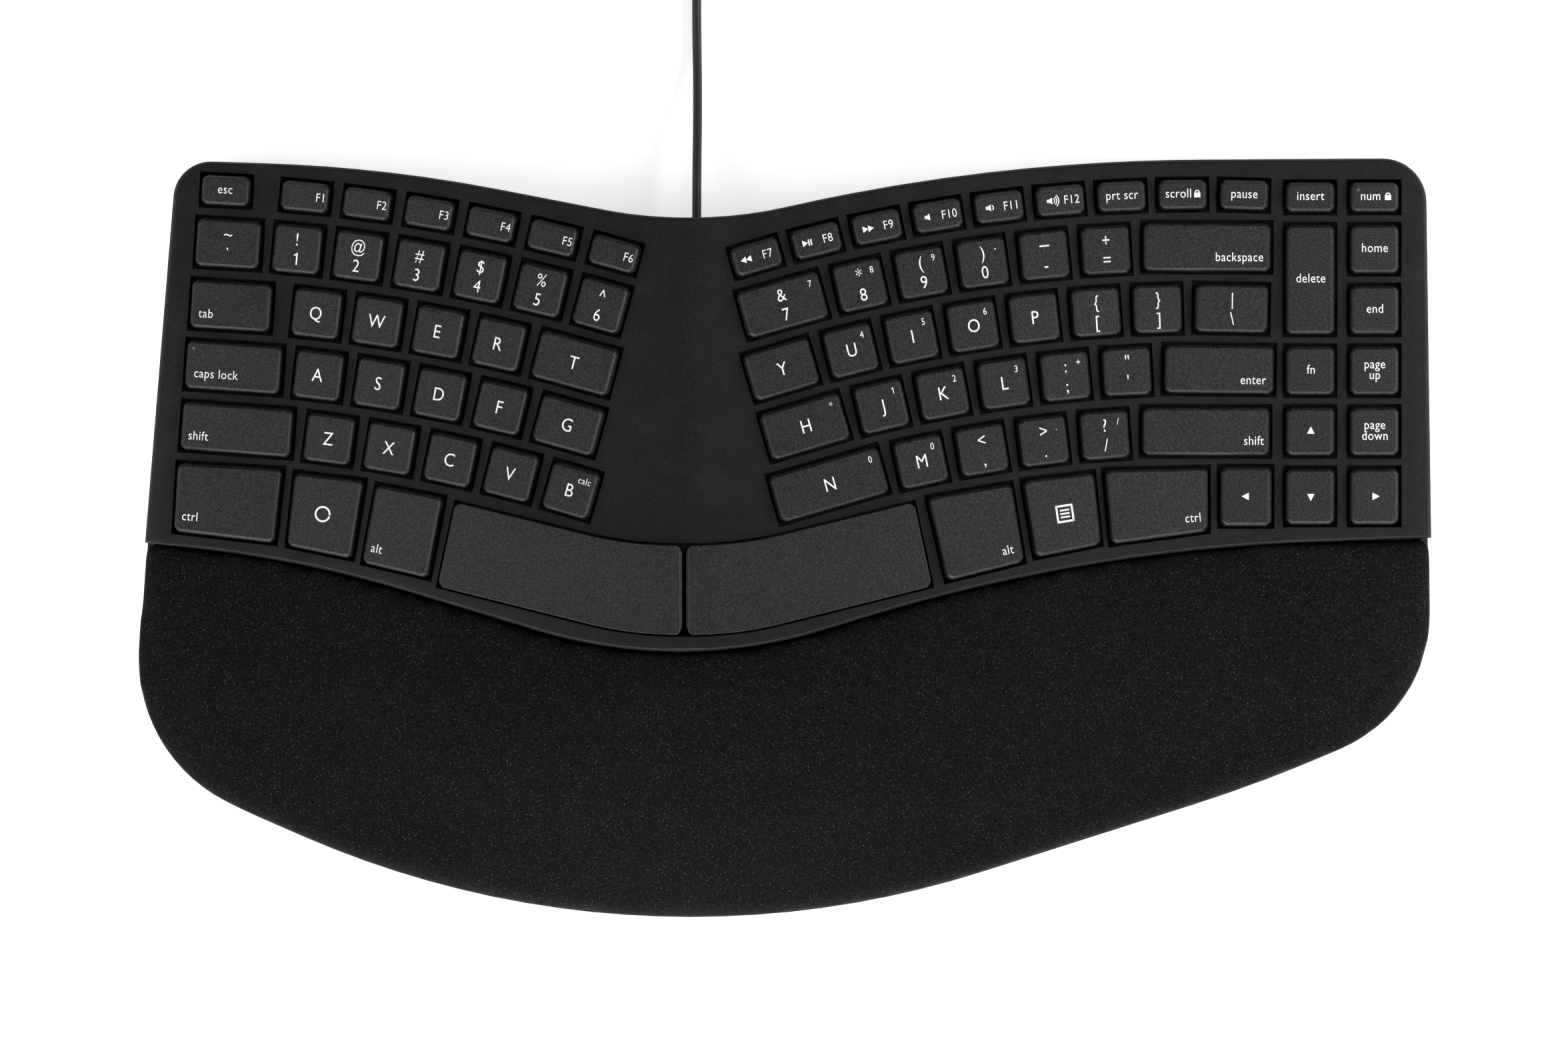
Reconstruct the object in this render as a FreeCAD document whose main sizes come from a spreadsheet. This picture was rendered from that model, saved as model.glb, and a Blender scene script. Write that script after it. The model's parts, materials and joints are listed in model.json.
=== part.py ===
import FreeCAD, Part
import math
import os
import re

from FreeCAD import Placement, Rotation, Vector

# Ergonomic keyboard with a gull-wing key field, a split space bar and a padded palm rest.
# Frame: X to the right, Y to the back, Z up, origin under the middle of the case on the table. Millimetres.

doc = FreeCAD.newDocument("Keyboard")
sheet = doc.addObject("Spreadsheet::Sheet", "Sizes")

SIZES = [
    # Case outline seen from above: corners of a polygon and the radius of the arc at each
    ("back_left_x", -186.3), ("back_left_y", 116.1), ("back_left_round", 11.5),
    ("left_crest_x", -122.8), ("left_crest_y", 113.8), ("left_crest_round", 455),
    ("back_valley_x", -26.8), ("back_valley_y", 94.6), ("back_valley_round", 131),
    ("right_crest_x", 64.1), ("right_crest_y", 115.8), ("right_crest_round", 580),
    ("back_right_x", 196.7), ("back_right_y", 116.7), ("back_right_round", 13.5),
    ("front_right_x", 199.1), ("front_right_y", -52.7), ("front_right_round", 45),
    ("right_cheek_x", 148.4), ("right_cheek_y", -74.9), ("right_cheek_round", 450),
    ("right_bow_x", 17.2), ("right_bow_y", -116.6), ("right_bow_round", 296),
    ("left_bow_x", -91.1), ("left_bow_y", -116.6), ("left_bow_round", 299),
    ("left_cheek_x", -165.9), ("left_cheek_y", -84.0), ("left_cheek_round", 190),
    ("front_left_x", -201.3), ("front_left_y", -66.1), ("front_left_round", 49.0),
    # Line between the top cover and the palm rest
    ("border_left_y", -1.2),
    ("border_left_bend_x", -146.9), ("border_left_bend_y", -6.5), ("border_left_round", 380),
    ("border_valley_x", -31.5), ("border_valley_y", -41.1), ("border_valley_round", 152),
    ("border_right_bend_x", 91.0), ("border_right_bend_y", -3.5), ("border_right_round", 548),
    ("border_right_y", 0.3),
    # Gull-wing bend of the key field, seen from the front
    ("wing_end_height", 19.0),
    ("ridge_x", -29.2),
    ("left_bend_x", -150.0), ("left_tip_slope", 3.0), ("left_flank_slope", 9.5),
    ("right_bend_x", 118.0), ("right_flank_slope", 8.0), ("right_tip_slope", 0.0),
    ("left_bend_round", 500), ("ridge_round", 45), ("right_bend_round", 450),
    ("flats_above_round", 200),
    # Top cover
    ("cover_skin", 2.0), ("cover_wall", 2.2), ("cover_edge_bevel", 1.2), ("parting_height", 8.0),
    ("key_gap", 0.7),
    # Key caps
    ("cap_rise", 3.0), ("cap_depth_below", 2.6), ("cap_shoulder", 2.2), ("cap_draft", 0.45), ("cap_bevel", 0.8),
    ("cap_corner", 1.5), ("cap_size", 15.4), ("cap_function_depth", 9.7), ("key_travel", 3.0),
    ("plunger_size", 5.6), ("plunger_length", 5.9), ("guide_clearance", 0.45),
    # Layers under the cover
    ("bed_clearance", 0.9), ("bed_skin", 1.6), ("dome_clearance", 0.3), ("dome_height", 3.6),
    ("dome_top_size", 3.4), ("dome_foot_size", 4.6), ("membrane_skin", 0.6), ("plate_skin", 0.8),
    ("layer_inset", 7.5), ("bed_post", 4.0), ("dome_seat", 0.3), ("post_slack", 0.5),
    # Arcs of keys: centres, radii and where each row starts
    ("left_centre_x", -204.1), ("left_centre_y", -458.9),
    ("right_centre_x", 128.5), ("right_centre_y", -381.0),
    ("left_function_radius", 566.5), ("left_number_radius", 550.4), ("left_top_radius", 531.4),
    ("left_home_radius", 512.7), ("left_lower_radius", 493.8),
    ("right_function_radius", 486.4), ("right_number_radius", 470.3), ("right_top_radius", 451.6),
    ("right_home_radius", 432.9), ("right_lower_radius", 413.9),
    ("left_function_start", 3.37), ("left_number_start", 3.55), ("left_top_start", 3.77),
    ("left_home_start", 4.0), ("left_lower_start", 4.27),
    ("right_function_start", -16.36), ("right_number_start", -15.92), ("right_top_start", -16.65),
    ("right_home_start", -16.40), ("right_lower_start", -16.12),
    ("key_web", 3.6), ("function_web_left", 3.94), ("function_web_right", 3.5),
    ("escape_web", 9.2), ("tab_web", 6.3),
    ("grave_width", 20.3), ("tab_width", 25.2), ("caps_width", 30.0), ("left_shift_width", 34.7),
    ("t_width", 25.1), ("g_width", 20.1), ("seven_width", 26.1), ("backspace_width", 39.8),
    ("y_width", 21.1), ("backslash_width", 23.0), ("h_width", 25.6), ("enter_width", 34.2),
    ("n_width", 35.1), ("right_shift_width", 39.7),
    # Straight columns at the right
    ("inner_column_x", 161.1), ("outer_column_x", 180.7), ("arrow_column_x", 141.4),
    ("column_top_y", 104.6), ("column_home_y", 88.7), ("column_pitch", 18.6),
    ("arrow_row_y", 13.0), ("arrow_depth", 17.6), ("delete_y", 79.4), ("delete_depth", 34.1),
    ("left_arrow_width", 16.2), ("left_arrow_depth", 18.6),
    # Space bars
    ("space_gap", 1.3), ("space_mid_x", -30.25), ("space_inner_back_y", -1.9), ("space_inner_front_y", -29.0),
    ("space_back_reach", 69.8), ("space_back_y", 11.2), ("space_front_reach", 75.3), ("space_front_y", -14.4),
    ("space_back_bend", 16.9), ("space_front_bend", 16.3), ("space_round", 112),
    # Palm rest
    ("pad_thickness", 5.0), ("pad_side", 3.0), ("pad_gap", 0.3), ("pad_step", 0.8),
    # Bottom cover
    ("foot_height", 1.6), ("foot_recess", 0.5), ("floor_skin", 2.2), ("tray_wall", 2.2), ("tray_bevel", 2.5),
    ("rib_skin", 2.0), ("rib_inset", 8.5), ("root", 0.5), ("foot_length", 26.0), ("foot_width", 8.0), ("foot_bevel", 0.4),
    # Screws
    ("screw_head_radius", 2.7), ("screw_head_height", 1.4), ("screw_radius", 1.4), ("screw_length", 9.0),
    ("screw_slack", 0.2), ("post_size", 6.0), ("spine_post_front_y", 20.0), ("spine_post_back_y", 50.0),
    # Controller board
    ("board_length", 64.0), ("board_width", 24.0), ("board_skin", 1.6), ("board_x", -62.0), ("board_y", 60.0),
    ("board_lift", 4.0), ("chip_size", 7.0), ("chip_height", 1.0), ("header_length", 12.0),
    ("header_width", 5.0), ("header_height", 5.0), ("board_post", 4.0),
    # Cord, strain relief and plug
    ("cord_diameter", 2.8), ("cord_exit_height", 12.0), ("bush_radius", 3.2), ("bush_flange_radius", 4.6),
    ("bush_flange", 1.5), ("bush_nose", 1.2), ("bush_slack", 0.1), ("bush_lip", 0.5),
    ("coil_lift", 1.2), ("coil_step", 3.4), ("coil_middle_diameter", 33.6),
    ("tie_skin", 0.8), ("tie_width", 6.0), ("tie_slack", 0.4), ("tie_angle", 135.0),
    ("plug_length", 26.0), ("plug_width", 15.6), ("plug_height", 7.8), ("plug_bevel", 1.6),
    ("plug_offset", 15.5), ("plug_clearance", 0.1),
    ("shell_length", 12.0), ("shell_width", 12.0), ("shell_height", 4.5), ("shell_skin", 0.3),
]

for row_number, (alias, value) in enumerate(SIZES, start=1):
    cell = "A" + str(row_number)
    sheet.set(cell, str(value))
    sheet.setAlias(cell, alias)
doc.recompute()


def size(alias):
    return float(sheet.get(alias))


# Outlines: a list of corners (x, y, radius), anticlockwise

def unit(ax, ay, bx, by):
    length = math.hypot(bx - ax, by - ay)
    return (bx - ax) / length, (by - ay) / length


def shifted_line(start, end, distance):
    """A point and a direction of the line start-end moved to its left by distance."""
    dx, dy = unit(start[0], start[1], end[0], end[1])
    return start[0] - dy * distance, start[1] + dx * distance, dx, dy


def crossing(first, second):
    """Where two lines, each a point and a direction, cross."""
    ax, ay, adx, ady = first
    bx, by, bdx, bdy = second
    across = adx * bdy - ady * bdx
    along = ((bx - ax) * bdy - (by - ay) * bdx) / across
    return ax + adx * along, ay + ady * along


def turn_sign(before, corner, after):
    adx, ady = unit(before[0], before[1], corner[0], corner[1])
    bdx, bdy = unit(corner[0], corner[1], after[0], after[1])
    return math.copysign(1.0, adx * bdy - ady * bdx)


def inset(corners, distance):
    """The outline moved inwards by distance, with its arcs kept concentric."""
    moved = []
    count = len(corners)
    for i, corner in enumerate(corners):
        before = corners[i - 1]
        after = corners[(i + 1) % count]
        first = shifted_line(before, corner, distance)
        second = shifted_line(corner, after, distance)
        x, y = crossing(first, second)
        radius = corner[2]
        if radius:
            radius = max(0.0, radius - turn_sign(before, corner, after) * distance)
        moved.append((x, y, radius))
    return moved


def cut_corners(corners, cut):
    """The outline with each sharp corner cut off."""
    result = []
    count = len(corners)
    for i, (x, y, radius) in enumerate(corners):
        if radius:
            result.append((x, y, radius))
            continue
        before = corners[i - 1]
        after = corners[(i + 1) % count]
        adx, ady = unit(x, y, before[0], before[1])
        bdx, bdy = unit(x, y, after[0], after[1])
        result.append((x + adx * cut, y + ady * cut, 0))
        result.append((x + bdx * cut, y + bdy * cut, 0))
    return result


def bend(before, corner, after):
    """Start, middle and end of the arc that rounds a corner."""
    x, y, radius = corner
    adx, ady = unit(x, y, before[0], before[1])
    bdx, bdy = unit(x, y, after[0], after[1])
    half = math.acos(max(-1.0, min(1.0, adx * bdx + ady * bdy))) / 2
    reach = radius / math.tan(half)
    mx, my = unit(0, 0, adx + bdx, ady + bdy)
    depth = radius / math.sin(half) - radius
    return (x + adx * reach, y + ady * reach), (x + mx * depth, y + my * depth), (x + bdx * reach, y + bdy * reach)


def edges_of(points, to_vector, closed):
    """Lines and tangent arcs through the corners, as edges."""
    edges = []
    count = len(points)
    stops = []
    for i, corner in enumerate(points):
        end_corner = not closed and i in (0, count - 1)
        if corner[2] and not end_corner:
            stops.append(bend(points[i - 1], corner, points[(i + 1) % count]))
        else:
            stops.append(((corner[0], corner[1]),))
    for i, stop in enumerate(stops):
        if len(stop) == 3:
            edges.append(Part.Arc(*(to_vector(*p) for p in stop)).toShape())
        if i == count - 1 and not closed:
            break
        start = to_vector(*stop[-1])
        end = to_vector(*stops[(i + 1) % count][0])
        if start.distanceToPoint(end) > 1e-6:
            edges.append(Part.makeLine(start, end))
    return edges


def flat_face(corners, height):
    edges = edges_of(corners, lambda x, y: Vector(x, y, height), True)
    return Part.Face(Part.Wire(edges))


def bound(kind, label, rules):
    """A document object whose sizes follow the spreadsheet: {property: rule in the sizes' own names}."""
    made = doc.addObject("Part::" + kind, label)
    for target, rule in rules.items():
        made.setExpression(target, re.sub(r"([a-z_]{4,})", r"Sizes.\1", rule))
    doc.recompute([made])
    return made


def fused(label, pieces):
    made = doc.addObject("Part::MultiFuse", label)
    made.Shapes = pieces
    return made


def compound(label, pieces):
    made = doc.addObject("Part::Compound", label)
    made.Links = pieces
    return made


def less(label, base, tool):
    made = doc.addObject("Part::Cut", label)
    made.Base = base
    made.Tool = tool
    return made


def bevelled(block, label, width, chosen):
    made = doc.addObject("Part::Chamfer", label)
    made.Base = block
    made.Edges = [(i + 1, width, width) for i, edge in enumerate(block.Shape.Edges) if chosen(edge)]
    return made


def prism(corners, low, high):
    return flat_face(corners, low).extrude(Vector(0, 0, high - low))


def tapered(levels):
    """A solid of flat faces through the same straight-sided outline at several heights: [(corners, height)]."""
    rings = [[Vector(x, y, height) for x, y, _ in corners] for corners, height in levels]
    faces = [Part.Face(Part.makePolygon(ring + ring[:1])) for ring in (rings[0], rings[-1])]
    count = len(rings[0])
    for low, high in zip(rings, rings[1:]):
        for i in range(count):
            j = (i + 1) % count
            faces.append(Part.Face(Part.makePolygon([low[i], low[j], high[j], high[i], low[i]])))
    solid = Part.Solid(Part.Shell(faces))
    return solid if solid.Volume > 0 else Part.Solid(solid.Shells[0].reversed())


def many_sided(radius, sides):
    """A small round section as flats, its corners on the radius, anticlockwise."""
    turns = [2 * math.pi * (i + 0.5) / sides for i in range(sides)]
    return [(radius * math.cos(turn), radius * math.sin(turn), 0) for turn in turns]


def bar(radius, height, x, y, z):
    rod = prism(many_sided(radius, SMALL_ROUND_SIDES), 0, height)
    rod.translate(Vector(x, y, z))
    return rod


SMALL_ROUND_SIDES = 8


def rectangle(width, depth):
    return [(-width / 2, -depth / 2, 0), (width / 2, -depth / 2, 0), (width / 2, depth / 2, 0),
            (-width / 2, depth / 2, 0)]


def corner(name, round_name=None):
    return size(name + "_x"), size(name + "_y"), size((round_name or name) + "_round")


def along_side(top, bottom, height):
    """The x of the side line at a given y."""
    share = (height - top[1]) / (bottom[1] - top[1])
    return top[0] + (bottom[0] - top[0]) * share


BACK = [corner(name) for name in ("back_right", "right_crest", "back_valley", "left_crest", "back_left")]
FRONT = [corner(name) for name in ("front_left", "left_cheek", "left_bow", "right_bow", "right_cheek", "front_right")]
OUTLINE = BACK + FRONT
BORDER = [
    (along_side(BACK[-1], FRONT[0], size("border_left_y")), size("border_left_y"), 0),
    (size("border_left_bend_x"), size("border_left_bend_y"), size("border_left_round")),
    (size("border_valley_x"), size("border_valley_y"), size("border_valley_round")),
    (size("border_right_bend_x"), size("border_right_bend_y"), size("border_right_round")),
    (along_side(BACK[0], FRONT[-1], size("border_right_y")), size("border_right_y"), 0),
]
KEY_FIELD = BORDER + BACK
PALM_FIELD = FRONT + BORDER[::-1]


# Gull-wing bend

def slope(name):
    return math.tan(math.radians(size(name)))


def wing_corners():
    """Corners (x, z, radius) of the cover's top, from the left tip to the right tip."""
    reach = 1.2 * (size("front_right_x") - size("ridge_x"))
    left_end = size("ridge_x") - reach
    right_end = size("ridge_x") + reach
    bend_z = size("wing_end_height") + (size("left_bend_x") - size("front_left_x")) * slope("left_tip_slope")
    ridge_z = bend_z + (size("ridge_x") - size("left_bend_x")) * slope("left_flank_slope")
    right_z = ridge_z - (size("right_bend_x") - size("ridge_x")) * slope("right_flank_slope")
    return [
        (left_end, bend_z - (size("left_bend_x") - left_end) * slope("left_tip_slope"), 0),
        (size("left_bend_x"), bend_z, size("left_bend_round")),
        (size("ridge_x"), ridge_z, size("ridge_round")),
        (size("right_bend_x"), right_z, size("right_bend_round")),
        (right_end, right_z - (right_end - size("right_bend_x")) * slope("right_tip_slope"), 0),
    ]


def in_flats(corners):
    """The wide bends laid out as short flats, so that each key's aperture has flat walls; the ridge stays round."""
    result = [corners[0]]
    for before, middle, after in zip(corners, corners[1:], corners[2:]):
        if middle[2] < size("flats_above_round"):
            result.append(middle)
            continue
        start, _, end = bend(before, middle, after)
        first = math.atan2(middle[1] - before[1], middle[0] - before[0])
        last = math.atan2(after[1] - middle[1], after[0] - middle[0])
        line = (start[0], start[1], math.cos(first), math.sin(first))
        sign = turn_sign(before, middle, after)
        centre = (start[0] - sign * line[3] * middle[2], start[1] + sign * line[2] * middle[2])
        for step in range(1, BEND_FLATS + 1):
            angle = first + (last - first) * step / BEND_FLATS
            touch = (centre[0] + sign * math.sin(angle) * middle[2], centre[1] - sign * math.cos(angle) * middle[2])
            follow = (touch[0], touch[1], math.cos(angle), math.sin(angle))
            x, z = crossing(line, follow)
            result.append((x, z, 0))
            line = follow
    result.append(corners[-1])
    return result


BEND_FLATS = 3
WING_BENDS = wing_corners()
WING = in_flats(WING_BENDS)


def sunk_wing(depth):
    """The wing line moved down, square to itself, by depth."""
    lines = [shifted_line(WING[i], WING[i + 1], -depth) for i in range(len(WING) - 1)]
    result = [(lines[0][0], lines[0][1], 0)]
    for i in range(1, len(WING) - 1):
        x, z = crossing(lines[i - 1], lines[i])
        grow = turn_sign(WING[i - 1], WING[i], WING[i + 1]) * depth if WING[i][2] else 0
        result.append((x, z, WING[i][2] + grow))
    last = WING[-1]
    dx, dz = lines[-1][2], lines[-1][3]
    result.append((last[0] + dz * depth, last[1] - dx * depth, 0))
    return result


def under_wing(depth, floor):
    """Everything between the level floor and the wing line sunk by depth."""
    span = size("back_right_y") - size("right_bow_y") + 40
    y = size("back_right_y") + 20
    line = sunk_wing(depth)
    edges = edges_of(line, lambda x, z: Vector(x, y, z), False)
    left = Vector(line[0][0], y, floor)
    right = Vector(line[-1][0], y, floor)
    edges.append(Part.makeLine(Vector(line[-1][0], y, line[-1][1]), right))
    edges.append(Part.makeLine(right, left))
    edges.append(Part.makeLine(left, Vector(line[0][0], y, line[0][1])))
    return Part.Face(Part.Wire(Part.__sortEdges__(edges))).extrude(Vector(0, -span, 0))


def wing_at(x):
    """Height and slope angle of the cover's top at x."""
    for before, middle, after in zip(WING, WING[1:], WING[2:]):
        if not middle[2]:
            continue
        start, _, end = bend(before, middle, after)
        if start[0] <= x <= end[0]:
            sign = turn_sign(before, middle, after)
            dx, dz = unit(before[0], before[1], middle[0], middle[1])
            centre_x = start[0] - sign * dz * middle[2]
            centre_z = start[1] + sign * dx * middle[2]
            height = centre_z - sign * math.sqrt(middle[2] ** 2 - (x - centre_x) ** 2)
            return height, math.atan2(sign * (x - centre_x), sign * (centre_z - height))
    for before, after in zip(WING, WING[1:]):
        if x <= after[0]:
            break
    dx, dz = unit(before[0], before[1], after[0], after[1])
    return before[1] + (x - before[0]) * dz / dx, math.atan2(dz, dx)


def wing_top():
    return max(z for _, z, _ in WING) + 10


def layer(depth, thickness, outline):
    """A sheet that follows the wing, within an outline."""
    block = prism(outline, size("foot_height"), wing_top())
    upper = block.common(under_wing(depth, 0))
    return upper.cut(under_wing(depth + thickness, -1))


def in_chords(corners):
    """An outline for a hidden sheet: each arc that bulges outwards becomes two chords."""
    result = []
    for i, corner in enumerate(corners):
        before = corners[i - 1]
        after = corners[(i + 1) % len(corners)]
        if not corner[2] or turn_sign(before, corner, after) < 0:
            result.append(corner)
            continue
        result.extend((point[0], point[1], 0) for point in bend(before, corner, after))
    return result


# Keys: each has a place on the wing, an outline and the node that holds it

class Key:
    def __init__(self, name, x, y, turn, corners, upright=False):
        height, tilt = wing_at(x)
        self.name = name
        self.corners = corners
        self.upright = upright
        self.tilt = tilt
        lean = Rotation(Vector(0, 1, 0), -math.degrees(tilt))
        spin = Rotation(Vector(0, 0, 1), turn)
        self.tilted = Placement(Vector(x, y, height), lean * spin)
        self.frame = Placement(Vector(x, y, height), Rotation()) if upright else self.tilted

    def placed(self, shape):
        shape.Placement = self.frame
        return shape


def arc_row(side, row, web, names):
    """Keys side by side on one arc, turned to it. names: [(name, width, depth, web before it or None)]."""
    radius = size(side + "_" + row + "_radius")
    angle = math.radians(size(side + "_" + row + "_start"))
    keys = []
    previous = None
    for name, width, depth, own_web in names:
        if previous is not None:
            angle += ((previous + width) / 2 + (own_web or web)) / radius
        x = size(side + "_centre_x") + radius * math.sin(angle)
        y = size(side + "_centre_y") + radius * math.cos(angle)
        keys.append(Key(name, x, y, -math.degrees(angle), rectangle(width, depth)))
        previous = width
    return keys


def plain_keys(names):
    return [(name, size("cap_size"), size("cap_size"), None) for name in names.split()]


def wide_key(name, width_name, own_web=None):
    return [(name, size(width_name), size("cap_size"), own_web)]


def function_row(names, own_webs=None):
    own_webs = own_webs or {}
    return [(name, size("cap_size"), size("cap_function_depth"), own_webs.get(name)) for name in names.split()]


def column_key(name, column, y, depth, width=None):
    return Key(name, size(column + "_column_x"), y, 0, rectangle(width or size("cap_size"), depth))


def edged_key(name, corners):
    """A key whose four corners are given in plan, anticlockwise from the front left."""
    x = sum(p[0] for p in corners) / 4
    y = sum(p[1] for p in corners) / 4
    stretch = 1 / math.cos(wing_at(x)[1])
    return Key(name, x, y, 0, [((px - x) * stretch, py - y, 0) for px, py in corners])


# Corners in plan of the fanned keys beside the space bars
FANNED = {
    "left_ctrl": [(-187.1, 2.1), (-155.6, -1.6), (-153.0, 21.8), (-185.8, 23.6)],
    "left_logo": [(-152.2, -2.3), (-131.8, -6.4), (-127.8, 18.1), (-149.7, 20.7)],
    "left_alt": [(-129.0, -7.5), (-108.2, -12.3), (-103.3, 12.9), (-124.5, 17.0)],
    "right_alt": [(49.4, -13.1), (73.5, -7.2), (69.4, 17.3), (43.3, 12.9)],
    "menu": [(76.5, -6.0), (97.1, -1.9), (94.7, 20.7), (72.4, 18.1)],
    "right_ctrl": [(99.8, -1.9), (130.0, 2.1), (129.9, 22.1), (97.6, 21.4)],
}


def space_key(name, side):
    """One half of the space bar; side is -1 for the left and 1 for the right."""
    mid = size("space_mid_x")
    inner = size("space_gap") / 2
    back = size("space_inner_back_y")
    front = size("space_inner_front_y")
    points = [
        (inner, back, 0),
        (size("space_back_bend"), back, size("space_round")),
        (size("space_back_reach"), size("space_back_y"), 0),
        (size("space_front_reach"), size("space_front_y"), 0),
        (size("space_front_bend"), front, size("space_round")),
        (inner, front, 0),
    ]
    x = size("space_front_reach") / 2
    y = (back + front) / 2 + (size("space_back_y") - back) / 4
    corners = [(side * (px - x), py - y, radius) for px, py, radius in points]
    if side > 0:
        corners = corners[::-1]
    return Key(name, mid + side * x, y, 0, corners, True)


def column_y(row):
    return size("column_home_y") - row * size("column_pitch")


CAP = size("cap_size")
KEYS = {}
for key in (
    arc_row("left", "function", size("function_web_left"),
            function_row("escape f1 f2 f3 f4 f5 f6", {"f1": size("escape_web")}))
    + arc_row("left", "number", size("key_web"), wide_key("grave", "grave_width") + plain_keys("one two three four five six"))
    + arc_row("left", "top", size("key_web"), wide_key("tab", "tab_width") + [("q", CAP, CAP, size("tab_web"))]
              + plain_keys("w e r") + wide_key("t", "t_width"))
    + arc_row("left", "home", size("key_web"), wide_key("caps_lock", "caps_width") + plain_keys("a s d f")
              + wide_key("g", "g_width"))
    + arc_row("left", "lower", size("key_web"), wide_key("left_shift", "left_shift_width")
              + plain_keys("z x c v b"))
    + arc_row("right", "function", size("function_web_right"),
              function_row("f7 f8 f9 f10 f11 f12 print_screen scroll_lock pause"))
    + arc_row("right", "number", size("key_web"), wide_key("seven", "seven_width")
              + plain_keys("eight nine zero minus equals") + wide_key("backspace", "backspace_width"))
    + arc_row("right", "top", size("key_web"), wide_key("y", "y_width")
              + plain_keys("u i o p left_bracket right_bracket") + wide_key("backslash", "backslash_width"))
    + arc_row("right", "home", size("key_web"), wide_key("h", "h_width")
              + plain_keys("j k l semicolon quote") + wide_key("enter", "enter_width"))
    + arc_row("right", "lower", size("key_web"), wide_key("n", "n_width")
              + plain_keys("m comma full_stop slash") + wide_key("right_shift", "right_shift_width"))
    + [
        column_key("insert", "inner", size("column_top_y"), size("cap_function_depth")),
        column_key("num_lock", "outer", size("column_top_y"), size("cap_function_depth")),
        column_key("delete", "inner", size("delete_y"), size("delete_depth")),
        column_key("home", "outer", column_y(0), CAP),
        column_key("end", "outer", column_y(1), CAP),
        column_key("page_up", "outer", column_y(2), CAP),
        column_key("page_down", "outer", column_y(3), CAP),
        column_key("function_shift", "inner", column_y(2), CAP),
        column_key("arrow_up", "inner", column_y(3), CAP),
        column_key("arrow_down", "inner", size("arrow_row_y"), size("arrow_depth")),
        column_key("arrow_right", "outer", size("arrow_row_y"), size("arrow_depth")),
        column_key("arrow_left", "arrow", size("arrow_row_y"), size("left_arrow_depth"), size("left_arrow_width")),
        space_key("left_space", -1),
        space_key("right_space", 1),
    ]
    + [edged_key(name, corners) for name, corners in FANNED.items()]
):
    KEYS[key.name] = key

# Banks of keys that share a node; every other key is a node of its own
BANKS = {
    "function_keys_left": "escape f1 f2 f3 f4 f5 f6",
    "function_keys_right": "f7 f8 f9 f10 f11 f12",
    "system_keys": "print_screen scroll_lock pause insert num_lock",
    "number_keys_left": "grave one two three four five six",
    "number_keys_right": "seven eight nine zero minus equals",
    "punctuation_keys": "left_bracket right_bracket backslash semicolon quote comma full_stop slash",
    "left_modifier_keys": "left_ctrl left_logo left_alt",
    "right_modifier_keys": "right_alt menu right_ctrl",
    "navigation_keys": "delete home end page_up page_down function_shift arrow_up arrow_down arrow_left "
                       "arrow_right",
}


# Solids of the keys

def cap_and_plunger(key):
    low = -size("cap_depth_below")
    high = size("cap_rise")
    outline = cut_corners(key.corners, size("cap_corner"))
    if key.upright:
        cap = leaning_cap(key, outline, low, high)
    else:
        shoulder = inset(outline, size("cap_draft"))
        top = inset(shoulder, size("cap_bevel"))
        cap = tapered([(outline, low), (shoulder, size("cap_shoulder")), (top, high)])
    half = size("plunger_size") / 2
    # An upright cap's dome leans with the wing under it, so that its plunger is a little shorter
    length = size("plunger_length") - (size("dome_seat") if key.upright else 0)
    stem = Part.makeBox(2 * half, 2 * half, length + 1, Vector(-half, -half, low - length))
    return key.placed(cap.fuse(stem))


def leaning_cap(key, outline, low, high):
    """A cap with upright sides whose top leans with the wing, so that it passes its twin at the ridge."""
    reach = size("space_front_reach")
    block = prism(outline, low - reach, high + reach)
    slab = Part.makeBox(2 * reach, 2 * reach, high - low, Vector(-reach, -reach, low))
    slab.Placement = Placement(Vector(), key.tilted.Rotation)
    cap = block.common(slab)
    top_face = max(cap.Faces, key=lambda face: face.CenterOfMass.z)
    return cap.makeChamfer(size("cap_bevel"), top_face.Edges)


def aperture(key):
    """What the cover leaves open for a key."""
    gap = size("key_gap")
    reach = size("space_front_reach") / 4 if key.upright else 2 * size("cover_skin")
    return key.placed(prism(inset(key.corners, -gap), -reach, reach))


def guide_hole(key):
    side = size("plunger_size") + 2 * size("guide_clearance")
    top = -size("cap_depth_below") - size("key_travel") + size("bed_clearance")
    low = -bed_depth() - 2 * size("bed_skin")
    return key.placed(prism(rectangle(side, side), low, top))


def bed_depth():
    return size("cap_depth_below") + size("key_travel") + size("bed_clearance")


def dome_top():
    return size("cap_depth_below") + size("plunger_length") + size("dome_clearance")


def membrane_depth():
    return dome_top() + size("dome_height")


def plate_depth():
    return membrane_depth() + size("membrane_skin")


def dome(key):
    foot = rectangle(2 * size("dome_foot_size"), 2 * size("dome_foot_size"))
    top = rectangle(size("dome_top_size") * 2, size("dome_top_size") * 2)
    shape = tapered([(foot, size("dome_seat") - membrane_depth()), (top, -dome_top())])
    shape.Placement = key.tilted
    return shape


# Covers and layers

def top_cover():
    low = size("parting_height")
    outer = prism(KEY_FIELD, low, wing_top()).common(under_wing(0, 0))
    rim = [edge for edge in outer.Edges if rim_edge(edge)]
    outer = outer.makeChamfer(size("cover_edge_bevel"), rim)
    hollow = prism(inset(KEY_FIELD, size("cover_wall")), low, wing_top())
    cover = outer.cut(hollow.common(under_wing(size("cover_skin"), 0)))
    cover = cover.fuse(post_boxes(size("post_size"), low, wing_top()).common(outer))
    spaces = [KEYS["left_space"], KEYS["right_space"]]
    tools = [aperture(key) for key in KEYS.values() if key not in spaces]
    cover = cover.cut(Part.makeCompound(tools))
    for key in spaces:
        cover = cover.cut(aperture(key))
    cover = cover.cut(cord_bore())
    return cover.cut(Part.makeCompound(screw_threads()))


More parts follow.
